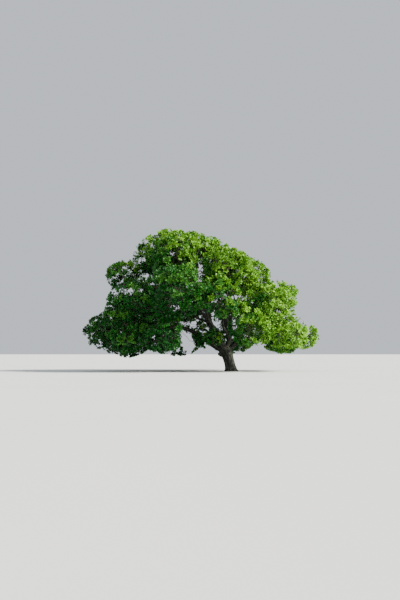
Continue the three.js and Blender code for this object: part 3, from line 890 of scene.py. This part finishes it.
@dataclass
class Growth:
    """All that grows in the crown: stretches of wood, and shoots with the spray that each belongs to."""

    links: list = empty_list()
    midribs: list = empty_list()
    starts: list = empty_list()
    headings: list = empty_list()
    sprays: list = empty_list()
    spray_places: list = empty_list()

    def add_shoots(self, starts, headings, place):
        self.starts.append(starts)
        self.headings.append(headings)
        self.sprays.append(np.full(len(starts), len(self.spray_places)))
        self.spray_places.append(place)


def grow_crown(boughs):
    """Twigs, sprays and shoots of every mass, grown on from the tip of its bough."""
    growth = Growth()
    places, radii = bark_points(boughs)
    fine_ends = fine_twig_ends(np.random.default_rng(FINE_SEED))
    nearest_mass = powers(fine_ends).argmin(1)
    for bough in boughs[1:]:
        mass = bough.mass
        random = random_from(mass.seed + 1)
        near = lengths(places - mass.centre) < mass.radius + TWIG_GAP + radii
        limbs = (places[near], radii[near])
        nodes, wood = grow_twigs(mass, bough, limbs, random)
        blades = grow_sprays(mass, nodes, limbs, wood, random)
        rng = np.random.default_rng(mass.seed)
        fine = grow_fine_twigs(nodes, fine_ends[nearest_mass == mass.index], limbs, rng)
        growth.links += [(n.parent.place, n.place, n.parent.radius, n.radius) for n in nodes[1:]]
        for twig in fine:
            thick = min(twig.parent.radius, FINE_RADII[0])
            growth.links.append((twig.parent.place, twig.place, thick, twig.radius))
        for blade in blades:
            growth.midribs.append((blade.base, blade.base + blade.forward * MIDRIB_LENGTH * blade.length))
            growth.add_shoots(*spray_shoots(blade, rng), blade.base + blade.forward * 0.5 * blade.length)
        for node in fine:
            if not node.children:
                growth.add_shoots(*twig_shoots(node, mass, rng), node.place)
    return growth


def mesh_from(name, points, corners, sizes):
    """A mesh from its points, its faces' corners in one row, and how many each face has."""
    mesh = bpy.data.meshes.new(name)
    mesh.vertices.add(len(points))
    mesh.vertices.foreach_set("co", np.ascontiguousarray(points, np.float32).ravel())
    mesh.loops.add(len(corners))
    mesh.loops.foreach_set("vertex_index", np.ascontiguousarray(corners, np.int32))
    mesh.polygons.add(len(sizes))
    starts = np.concatenate([[0], np.cumsum(sizes)[:-1]]).astype(np.int32)
    mesh.polygons.foreach_set("loop_start", starts)
    mesh.update(calc_edges=True)
    mesh.validate()
    return mesh


def place_in_scene(name, data):
    placed = bpy.data.objects.new(name, data)
    bpy.context.scene.collection.objects.link(placed)
    return placed


def piece_from(name, mesh, material, nodes):
    """A named piece of the tree that rides on it and stands for some of its solids."""
    piece = place_in_scene(name, mesh)
    piece.data.materials.append(material)
    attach(piece, "root")
    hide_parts(*nodes)
    return piece


def tubes(lines, radii, sides):
    """Points and four-cornered faces of tubes along lines with equally many points, each with its radii."""
    count, steps = lines.shape[:2]
    forward = unit(lines[:, -1] - lines[:, 0])
    helper = np.where(np.abs(forward[:, 2:]) > 0.9, EAST, UP)
    across = unit(np.cross(forward, helper))
    over = np.cross(forward, across)
    turns = 2 * math.pi * np.arange(sides) / sides
    spokes = across[:, None] * np.cos(turns)[None, :, None] + over[:, None] * np.sin(turns)[None, :, None]
    points = lines[:, :, None] + spokes[:, None] * radii[:, :, None, None]
    side = np.arange(sides)
    quad = np.stack([side, (side + 1) % sides, (side + 1) % sides + sides, side + sides], 1)
    steps_in = sides * np.arange(steps - 1)[:, None, None]
    starts = steps * sides * np.arange(count)[:, None, None, None]
    faces = quad + steps_in + starts
    return points.reshape(-1, 3), faces.reshape(-1, 4)


def tube_mesh(name, groups):
    """One mesh of several groups of tubes."""
    points, faces, total = [], [], 0
    for group_points, group_faces in groups:
        points.append(group_points)
        faces.append(group_faces + total)
        total += len(group_points)
    faces = np.concatenate(faces)
    return mesh_from(name, np.concatenate(points), faces.ravel(), np.full(len(faces), 4))


def shoot_lines(growth, rng):
    """Each shoot as a line of three points that bends, with the spray that it belongs to."""
    starts = np.concatenate(growth.starts)
    headings = np.concatenate(growth.headings)
    sprays = np.concatenate(growth.sprays)
    reach = SHOOT_LENGTH * rng.uniform(1 - SHOOT_SPREAD, 1 + SHOOT_SPREAD, (len(starts), 1))
    bends = unit(rng.normal(size=starts.shape)) * SHOOT_BEND * reach
    bends[:, 2] += SHOOT_RISE * reach[:, 0]
    reach *= np.where(crown_depth(starts + headings * reach + bends) > 0, 1, SHORTENED)[:, None]
    middles = starts + headings * reach * 0.5
    ends = starts + headings * reach + bends
    lines = np.stack([starts, middles, ends], 1)
    keep = (crown_depth(ends) > 0) & (ends[:, 2] > LOWEST_SPRAY - 0.1)
    keep &= ~left_for_sky(middles, rng)
    return lines[keep], sprays[keep]


def outward_at(places):
    """Which way is out of the crown at places: away from their mass's centre and from the crown's heart."""
    nearest = powers(places).argmin(1)
    return unit(unit(places - CENTRES[nearest]) + unit(places - CROWN_HEART))


def leaf_places(lines, sprays, outwards, rng):
    """The foot, direction, facing, length and spray of every leaf, set in a spiral along the shoots."""
    count = len(lines)
    shares = np.linspace(FIRST_LEAF, 1, LEAVES_ON_SHOOT) ** LEAF_CROWDING
    first = mix(lines[:, None, 0], lines[:, None, 1], np.minimum(2 * shares, 1)[None, :, None])
    base = mix(first, lines[:, None, 2], np.maximum(2 * shares - 1, 0)[None, :, None])
    heading = unit(lines[:, 2] - lines[:, 0])[:, None]
    side = unit(np.cross(heading, NEARLY_UP))
    other = np.cross(heading, side)
    turns = rng.uniform(0, 2 * math.pi, (count, 1)) + GOLDEN_TURN * np.arange(LEAVES_ON_SHOOT)
    rounds = side * np.cos(turns)[..., None] + other * np.sin(turns)[..., None]
    upright = mix(*LEAF_ALONG_SHOOT, shares)[None, :, None]
    uneven = rng.normal(scale=LEAF_UNEVENNESS, size=base.shape)
    forward = unit(rounds + heading * upright + uneven - LEAF_DROOP * UP)
    wish = LEAF_UPWARDS * UP + LEAF_OUTWARDS * outwards + rng.normal(scale=SPRAY_TILT, size=outwards.shape)
    wish = wish[sprays][:, None] + rng.normal(scale=LEAF_TILT, size=base.shape)
    facing = unit(wish - forward * (wish * forward).sum(2, keepdims=True))
    spread = rng.uniform(1 - LEAF_LENGTH_SPREAD, 1 + LEAF_LENGTH_SPREAD, base.shape[:2])
    length = LEAF_LENGTH * spread
    owner = np.repeat(sprays[:, None], LEAVES_ON_SHOOT, 1)
    flat = [array.reshape(-1, 3) for array in (base, forward, facing)]
    return [*flat, length.ravel(), owner.ravel()]


def leaf_mesh(name, base, forward, facing, length):
    """One mesh of many leaves. Each has an oval outline and is folded along its midrib."""
    across = np.cross(facing, forward)
    left = list(LEAF_HALF)
    right = [(reach, -width) for reach, width in LEAF_HALF[-2:0:-1]]
    outline = np.array(left + right)
    reach, width = outline[:, 0], outline[:, 1]
    size = length[:, None, None]
    points = (
        base[:, None]
        + forward[:, None] * reach[None, :, None] * size
        + across[:, None] * width[None, :, None] * size
        + facing[:, None] * (LEAF_FOLD * np.abs(width))[None, :, None] * size
    )
    tip = len(LEAF_HALF) - 1
    halves = [list(range(tip, -1, -1)), [0, *range(len(outline) - 1, tip - 1, -1)]]
    corners = np.array(halves) + len(outline) * np.arange(len(base))[:, None, None]
    return mesh_from(name, points.reshape(-1, 3), corners.ravel(), np.full(2 * len(base), tip + 1))


def lattice(cells, seed):
    """A repeatable number from 0 to 1 for each whole-number cell."""
    x, y, z = (cells[..., i].astype(np.uint64) for i in range(3))
    mixed = (x * np.uint64(73856093)) ^ (y * np.uint64(19349663)) ^ (z * np.uint64(83492791))
    mixed = (mixed + np.uint64(seed * 2654435761)) & np.uint64(WORD)
    mixed = ((mixed ^ (mixed >> np.uint64(15))) * np.uint64(2246822519)) & np.uint64(WORD)
    mixed = ((mixed ^ (mixed >> np.uint64(13))) * np.uint64(3266489917)) & np.uint64(WORD)
    return ((mixed ^ (mixed >> np.uint64(16))) & np.uint64(WORD)).astype(float) / WORD


def soft_noise(points, seed):
    """Smooth noise from 0 to 1 with cells of one unit."""
    cells = np.floor(points).astype(np.int64)
    share = smooth_step(0, 1, points - cells)
    total = np.zeros(len(points))
    for corner in np.ndindex(2, 2, 2):
        weight = np.prod(np.where(corner, share, 1 - share), axis=1)
        total += weight * lattice(cells + np.array(corner), seed)
    return total


def furrows(places):
    """How deep the bark's furrows are at places along a limb laid straight, from 0 on a plate to 1."""
    scale = np.array([PLATE_WIDTH, PLATE_WIDTH, PLATE_LENGTH])
    wander = np.stack([soft_noise(places / (3 * PLATE_WIDTH), seed) for seed in WANDER_SEEDS], 1) - 0.5
    bent = (places + wander * FURROW_BEND * PLATE_WIDTH) / scale
    total = np.zeros(len(places))
    for share, size, seed in zip(FURROW_SHARES, (1, FINE_FURROWS), FURROW_SEEDS):
        total += share * (1 - np.abs(2 * soft_noise(bent * size, seed) - 1)) ** 3
    return np.clip(total, 0, 1)


def cross_direction(forward):
    return np.cross(forward, EAST if abs(forward[2]) > 0.9 else UP)


def centre_samples(boughs):
    """Samples of all limbs' middle lines: place, direction, two across, way along, and radius."""
    samples = []
    offset = 0.0
    for bough in boughs:
        if bough.mass:
            shares = np.linspace(0, 1, max(12, round(line_length(bough.line) / LIMB_SAMPLE_STEP)))
            line = bough.line_at(shares)
            radii = [bough_radius_at(bough, share) for share in shares]
        else:
            line = np.array([trunk_middle(z) for z in np.linspace(0, FORK_HEIGHT * TRUNK_TOP, 40)])
            radii = [TRUNK_RADIUS] * len(line)
        tangents = unit(np.gradient(line, axis=0))
        across = unit(cross_direction(tangents[0]))
        way = np.concatenate([[0], np.cumsum(lengths(np.diff(line, axis=0)))]) + offset
        for place, tangent, far, radius in zip(line, tangents, way, radii):
            across = unit(across - tangent * across.dot(tangent))
            samples.append([*place, *tangent, *across, *np.cross(tangent, across), far, radius])
        offset += LIMB_APART
    return np.array(samples)


def chunks(points, samples):
    """Points a few thousand at a time: which they are, and their distances from all the samples."""
    for start in range(0, len(points), CHUNK):
        chosen = slice(start, start + CHUNK)
        yield chosen, lengths(points[chosen, None] - samples[None, :, :3])


def limb_places(points, samples):
    """Where points lie along the nearest limb, laid straight, and that limb's radius."""
    nearest = np.empty(len(points), int)
    for chosen, away in chunks(points, samples):
        nearest[chosen] = (away - samples[:, 13]).argmin(1)
    near = samples[nearest]
    away = points - near[:, :3]
    straight = [(away * near[:, 6:9]).sum(1), (away * near[:, 9:12]).sum(1)]
    far = near[:, 12] + (away * near[:, 3:6]).sum(1)
    return np.stack([*straight, far], 1), near[:, 13]


def skin_from(rings):
    """Points and faces of a closed skin over a row of rings with equally many points."""
    sides = len(rings[0])
    last = (len(rings) - 1) * sides
    faces = []
    for ring in range(0, last, sides):
        for side in range(sides):
            a = ring + side
            b = ring + (side + 1) % sides
            faces.append((a, b, b + sides, a + sides))
    faces.append(tuple(range(sides - 1, -1, -1)))
    faces.append(tuple(range(last, last + sides)))
    return np.concatenate(rings), faces


def closed_tube(line, radii, sides):
    """A round skin along a line, with each end closed."""
    turns = 2 * math.pi * np.arange(sides) / sides
    across = None
    rings = []
    for i, point in enumerate(line):
        forward = unit(line[min(i + 1, len(line) - 1)] - line[max(i - 1, 0)])
        if across is None:
            across = cross_direction(forward)
        across = unit(across - forward * across.dot(forward))
        over = np.cross(forward, across)
        ring = np.outer(np.cos(turns), across) + np.outer(np.sin(turns), over)
        rings.append(point + ring * radii[i])
    return skin_from(rings)


def trunk_skin():
    """The trunk's outer skin, from below the cut to the rounded crotch."""
    turns = 2 * math.pi * np.arange(TRUNK_SIDES) / TRUNK_SIDES
    rings = []
    for share in TRUNK_RINGS:
        z = share * FORK_HEIGHT
        closing = math.sqrt(1 - ((share - 1) / TRUNK_CROWN) ** 2) if share > 1 else 1
        radius = trunk_radius_at(max(z, 0), turns) * closing
        x = trunk_middle(z)[0] + radius * np.cos(turns)
        rings.append(np.stack([x, radius * np.sin(turns), np.full(TRUNK_SIDES, z)], 1))
    return skin_from(rings)


def burr_skin():
    """The burr on the trunk's left side: a blunt knob that grows out from the trunk's middle."""
    start = trunk_middle(BURR_PLACE[2])
    reach = BURR_PLACE - start + unit(BURR_PLACE - start) * BURR_RADIUS
    turns = np.linspace(0, BURR_END, BURR_RINGS)
    line = start + np.outer(np.sin(turns), reach)
    return closed_tube(line, BURR_SWELL * BURR_RADIUS * np.cos(turns), LIMB_SIDES)


def bough_skin(bough):
    length = line_length(bough.line)
    shares = np.linspace(0, 1, max(10, round(length / LIMB_RING_STEP)))
    flare = [1 + FOOT_SWELL * math.exp(-share * length / FOOT_LENGTH) for share in shares]
    radii = [bough_radius_at(bough, share) * wide + SKIN_EXTRA for share, wide in zip(shares, flare)]
    return closed_tube(bough.line_at(shares), radii, LIMB_SIDES)


def bark_mesh(boughs):
    """The trunk and boughs as one skin, grown together where they meet, with the relief of furrowed bark."""
    points, faces, total = [], [], 0
    for skin_points, skin_faces in [trunk_skin(), burr_skin(), *(bough_skin(bough) for bough in boughs[1:])]:
        points.append(skin_points)
        faces += [tuple(total + corner for corner in face) for face in skin_faces]
        total += len(skin_points)
    rough = bpy.data.meshes.new("limbs_rough")
    rough.from_pydata(np.concatenate(points).tolist(), [], faces)
    grown_together = {"mode": "VOXEL", "voxel_size": BARK_VOXEL}
    mesh = modified(rough, REMESH=grown_together, SMOOTH={"factor": 0.5, "iterations": BARK_SMOOTHING})
    places = read_vectors(mesh.vertices, "co")
    normals = read_vectors(mesh.vertex_normals, "vector")
    straight, radii = limb_places(places, centre_samples(boughs))
    depth = furrows(straight)
    girth = radii / FULL_FURROWS_AT
    swelling = SWELLING_DEPTH * (soft_noise(straight * SWELLING_SCALE, SWELLING_SEED) - 0.5)
    relief = swelling * np.clip(girth, 0, 1)
    relief -= FURROW_DEPTH * np.clip(girth, SHALLOWEST_FURROWS, 1) * (depth - FURROW_MIDDLE)
    move_above_ground(mesh, places + normals * relief[:, None])
    for name, kind, key, values in (
        ("limb_place", "FLOAT_VECTOR", "vector", straight.astype(np.float32).ravel()),
        ("furrow", "FLOAT", "value", depth.astype(np.float32)),
    ):
        attribute = mesh.attributes.new(name, kind, "POINT")
        attribute.data.foreach_set(key, values)
    mesh.update()
    lighter = modified(mesh, DECIMATE={"ratio": BARK_FACES_KEPT})
    move_above_ground(lighter, read_vectors(lighter.vertices, "co"))
    lighter.polygons.foreach_set("use_smooth", np.ones(len(lighter.polygons), bool))
    lighter.update()
    return lighter


def read_vectors(items, key):
    values = np.empty(3 * len(items), np.float32)
    items.foreach_get(key, values)
    return values.reshape(-1, 3).astype(float)


def move_above_ground(mesh, places):
    """Give a mesh's points their places, with none below the ground."""
    places[:, 2] = np.maximum(places[:, 2], 0)
    mesh.vertices.foreach_set("co", places.astype(np.float32).ravel())


def modified(mesh, **modifiers):
    """A new mesh in place of one, after modifiers that are given by kind and settings."""
    holder = place_in_scene("holder", mesh)
    for kind, settings in modifiers.items():
        modifier = holder.modifiers.new(kind.lower(), kind)
        for name, value in settings.items():
            setattr(modifier, name, value)
    evaluated = holder.evaluated_get(bpy.context.evaluated_depsgraph_get())
    made = bpy.data.meshes.new_from_object(evaluated)
    bpy.data.objects.remove(holder)
    bpy.data.meshes.remove(mesh)
    return made


class Shader:
    """A material whose surface takes its colour and relief from procedural patterns."""

    def __init__(self, name, roughness, specular):
        self.material = bpy.data.materials.new(name)
        self.material.use_nodes = True
        self.tree = self.material.node_tree
        self.surface = self.tree.nodes["Principled BSDF"]
        self.surface.inputs["Roughness"].default_value = roughness
        self.surface.inputs["Specular IOR Level"].default_value = specular

    def node(self, kind, inputs, **settings):
        """A node with its settings. Its inputs are values, or other nodes' outputs."""
        node = self.tree.nodes.new("ShaderNode" + kind)
        for name, value in settings.items():
            setattr(node, name, value)
        for name, value in inputs.items():
            if isinstance(value, bpy.types.NodeSocket):
                self.tree.links.new(value, node.inputs[name])
            else:
                node.inputs[name].default_value = value
        return node

    def object_place(self):
        return self.node("TexCoord", {}).outputs["Object"]

    def noise(self, place, scale, detail):
        return self.node("TexNoise", {"Vector": place, "Scale": scale, "Detail": detail}).outputs["Fac"]

    def ramp(self, value, *stops):
        """A colour for each value, between stops that have a position and a colour."""
        node = self.node("ValToRGB", {"Fac": value})
        elements = node.color_ramp.elements
        while len(elements) < len(stops):
            elements.new(0.5)
        for element, (position, color) in zip(elements, stops):
            element.position = position
            element.color = (*color, 1)
        return node.outputs["Color"]

    def use_color(self, color):
        self.tree.links.new(color, self.surface.inputs["Base Color"])

    def use_bump(self, height, strength, depth):
        bump = self.node("Bump", {"Strength": strength, "Distance": depth, "Height": height})
        self.tree.links.new(bump.outputs["Normal"], self.surface.inputs["Normal"])


def patchy_shader(name, finish, pattern, *stops):
    """A shader with soft patches, from its roughness and specular level and its scale and detail."""
    shader = Shader(name, *finish)
    shader.use_color(shader.ramp(shader.noise(shader.object_place(), *pattern), *stops))
    return shader


def leaf_material(name, dark, light):
    """Leaves: two near greens that change from leaf to leaf, and a faint blotch on the blade."""
    shader = patchy_shader(name, (0.5, 0.3), (7.0, 4.0), (0.35, dark), (0.65, light))
    shader.use_bump(shader.noise(shader.object_place(), scale=60.0, detail=2.0), strength=0.25, depth=0.004)
    return shader.material


def bark_material():
    """Furrowed bark: grey-brown plates, furrows darkened as painted shade, and pale patches of lichen."""
    shader = Shader("bark", roughness=0.9, specular=0.2)
    place = shader.node("Attribute", {}, attribute_name="limb_place").outputs["Vector"]
    furrow = shader.node("Attribute", {}, attribute_name="furrow").outputs["Fac"]
    stretch = shader.node("VectorMath", {0: place, 1: (1, 1, 0.3)}, operation="MULTIPLY")
    grain = shader.noise(stretch.outputs["Vector"], scale=38.0, detail=8.0)
    plates = shader.ramp(
        grain, (0.3, (0.027, 0.03, 0.025)), (0.55, (0.066, 0.072, 0.06)), (0.75, (0.13, 0.142, 0.124))
    )
    patches = shader.ramp(
        shader.noise(place, scale=5.0, detail=6.0), (0.56, (0, 0, 0)), (0.68, (0.55, 0.55, 0.55))
    )
    lichen = {"Factor": patches, "A": plates, "B": (0.17, 0.195, 0.15, 1)}
    surface = shader.node("Mix", lichen, data_type="RGBA").outputs["Result"]
    # Painted shade: the deeper the furrow, the darker the bark, down to a near black in its depths.
    depth = shader.ramp(furrow, (0.1, (1, 1, 1)), (0.4, (0.5, 0.48, 0.44)), (0.7, (0.15, 0.14, 0.12)))
    shade = {"Factor": 1, "A": surface, "B": depth}
    shader.use_color(shader.node("Mix", shade, data_type="RGBA", blend_type="MULTIPLY").outputs["Result"])
    shader.use_bump(grain, strength=0.8, depth=0.012)
    return shader.material


def twig_material():
    """Thin brown-grey bark with lighter rings."""
    stops = ((0.35, (0.05, 0.043, 0.034)), (0.7, (0.12, 0.108, 0.085)))
    return patchy_shader("twig_bark", (0.85, 0.2), (14.0, 5.0), *stops).material


def floor_material():
    stops = ((0.3, (0.7, 0.71, 0.7)), (0.7, (0.74, 0.75, 0.74)))
    return patchy_shader("pale_floor", (0.9, 0.1), (0.08, 2.0), *stops).material


def make_camera():
    camera = place_in_scene("camera", bpy.data.cameras.new("camera"))
    camera.location = VIEW_PLACE
    look = Vector(VIEW_TARGET - VIEW_PLACE)
    camera.rotation_euler = look.to_track_quat("-Z", "Y").to_euler()
    camera.data.sensor_fit = "VERTICAL"
    camera.data.sensor_height = SENSOR
    view_height = VIEW_WIDTH * FRAME_HEIGHT / FRAME_WIDTH
    camera.data.lens = SENSOR * look.length / view_height
    camera.data.clip_end = FURTHEST_SEEN
    bpy.context.scene.camera = camera


def make_light():
    """A broad soft key light from the right and the front, and an even pale surrounding."""
    sun = place_in_scene("key", bpy.data.lights.new("key", "SUN"))
    sun.data.energy = 10.5
    sun.data.angle = math.radians(12)
    sun.data.color = (1.0, 0.96, 0.88)
    toward = -Vector(direction(heading=-12, climb=37))
    sun.rotation_euler = toward.to_track_quat("-Z", "Y").to_euler()
    world = bpy.data.worlds.new("studio")
    world.use_nodes = True
    background = world.node_tree.nodes["Background"]
    background.inputs["Color"].default_value = (0.88, 0.93, 1.0, 1)
    background.inputs["Strength"].default_value = 0.78
    bpy.context.scene.world = world


def make_floor():
    half = FLOOR_WIDTH / 2
    corners = [(-half, -half, 0), (half, -half, 0), (half, half, 0), (-half, half, 0)]
    mesh = bpy.data.meshes.new("floor")
    mesh.from_pydata(corners, [], [(0, 1, 2, 3)])
    floor = place_in_scene("floor", mesh)
    floor.data.materials.append(floor_material())
    floor.location.z = -FLOOR_GAP


def make_bark(boughs):
    names = ["trunk", *("bough_" + bough.name for bough in boughs[1:])]
    piece_from("bark", bark_mesh(boughs), bark_material(), names)


def make_twigs(growth, lines):
    """The main and fine twigs as one piece, and the leaf-bearing shoots as another."""
    links = np.array([(a, b) for a, b, _, _ in growth.links])
    radii = np.array([(thick, thin) for _, _, thick, thin in growth.links])
    ribs = np.array(growth.midribs)
    rib_radii = np.tile(MIDRIB_RADII, (len(ribs), 1))
    material = twig_material()
    wood = tube_mesh("twigs", [tubes(links, radii, 5), tubes(ribs, rib_radii, 4)])
    piece_from("twigs", wood, material, FOLIAGE)
    shoot_radii = np.tile([SHOOT_RADII[0], sum(SHOOT_RADII) / 2, SHOOT_RADII[1]], (len(lines), 1))
    piece_from("shoots", tube_mesh("shoots", [tubes(lines, shoot_radii, 3)]), material, FOLIAGE)


def spray_tones(growth, rng):
    """Each spray's painted light: sunlit outside, to the right and high up, in painted shade elsewhere."""
    places = np.array(growth.spray_places)
    power = powers(places)
    nearest = power.argmin(1)
    own = (places - CENTRES[nearest]) / RADII[nearest, None]
    shares = {
        "outer": 1 + (power / RADII**2).min(1),
        "rim": lengths((places - CROWN_HEART) / CROWN_REACH),
        "height": smooth_step(*CROWN_HEIGHTS, places[:, 2]),
        "side": smooth_step(*CROWN_SIDES, places[:, 0]),
        "sunny": SUNNY_UPWARDS * own[:, 2] + SUNNY_RIGHTWARDS * own[:, 0],
    }
    # Painted light: a higher total gives a spray a lighter, sunlit tone, a lower one a darker, shaded tone.
    total = sum(weight * shares[name] for name, weight in TONE_WEIGHTS.items())
    return total + rng.normal(scale=TONE_CHANCE, size=len(places))


def clear_of_limbs(points, boughs):
    """Whether points are clear of the trunk and boughs."""
    samples = centre_samples(boughs)
    clear = np.empty(len(points), bool)
    for chosen, away in chunks(points, samples):
        clear[chosen] = (away > samples[:, 13] + LEAF_TO_LIMB).all(1)
    return clear


def make_leaves(growth, boughs, lines, sprays, rng):
    """The leaves, in one piece for each tone of green, from painted shade to painted sunlight."""
    outwards = outward_at(np.array(growth.spray_places))
    base, forward, facing, length, owner = leaf_places(lines, sprays, outwards, rng)
    tips = base + forward * length[:, None]
    keep = (crown_depth(tips) > -LEAF_OUTREACH) & ~left_for_sky(tips, rng) & clear_of_limbs(tips, boughs)
    base, forward, facing, length, owner = (array[keep] for array in (base, forward, facing, length, owner))
    tones = spray_tones(growth, rng)[owner]
    order = tones.argsort(kind="stable")
    ends = np.cumsum([share for _, share, _, _ in LEAF_TONES[:-1]]) * len(order)
    for (name, _, dark, light), part in zip(LEAF_TONES, np.split(order, ends.astype(int))):
        mesh = leaf_mesh(name, base[part], forward[part], facing[part], length[part])
        piece_from(name, mesh, leaf_material(name, dark, light), FOLIAGE)


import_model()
make_camera()
make_light()
make_floor()
all_boughs = grow_boughs()
crown = grow_crown(all_boughs)
seeded = np.random.default_rng(LEAF_SEED)
shoots, shoot_sprays = shoot_lines(crown, seeded)
make_bark(all_boughs)
make_twigs(crown, shoots)
make_leaves(crown, all_boughs, shoots, shoot_sprays, seeded)
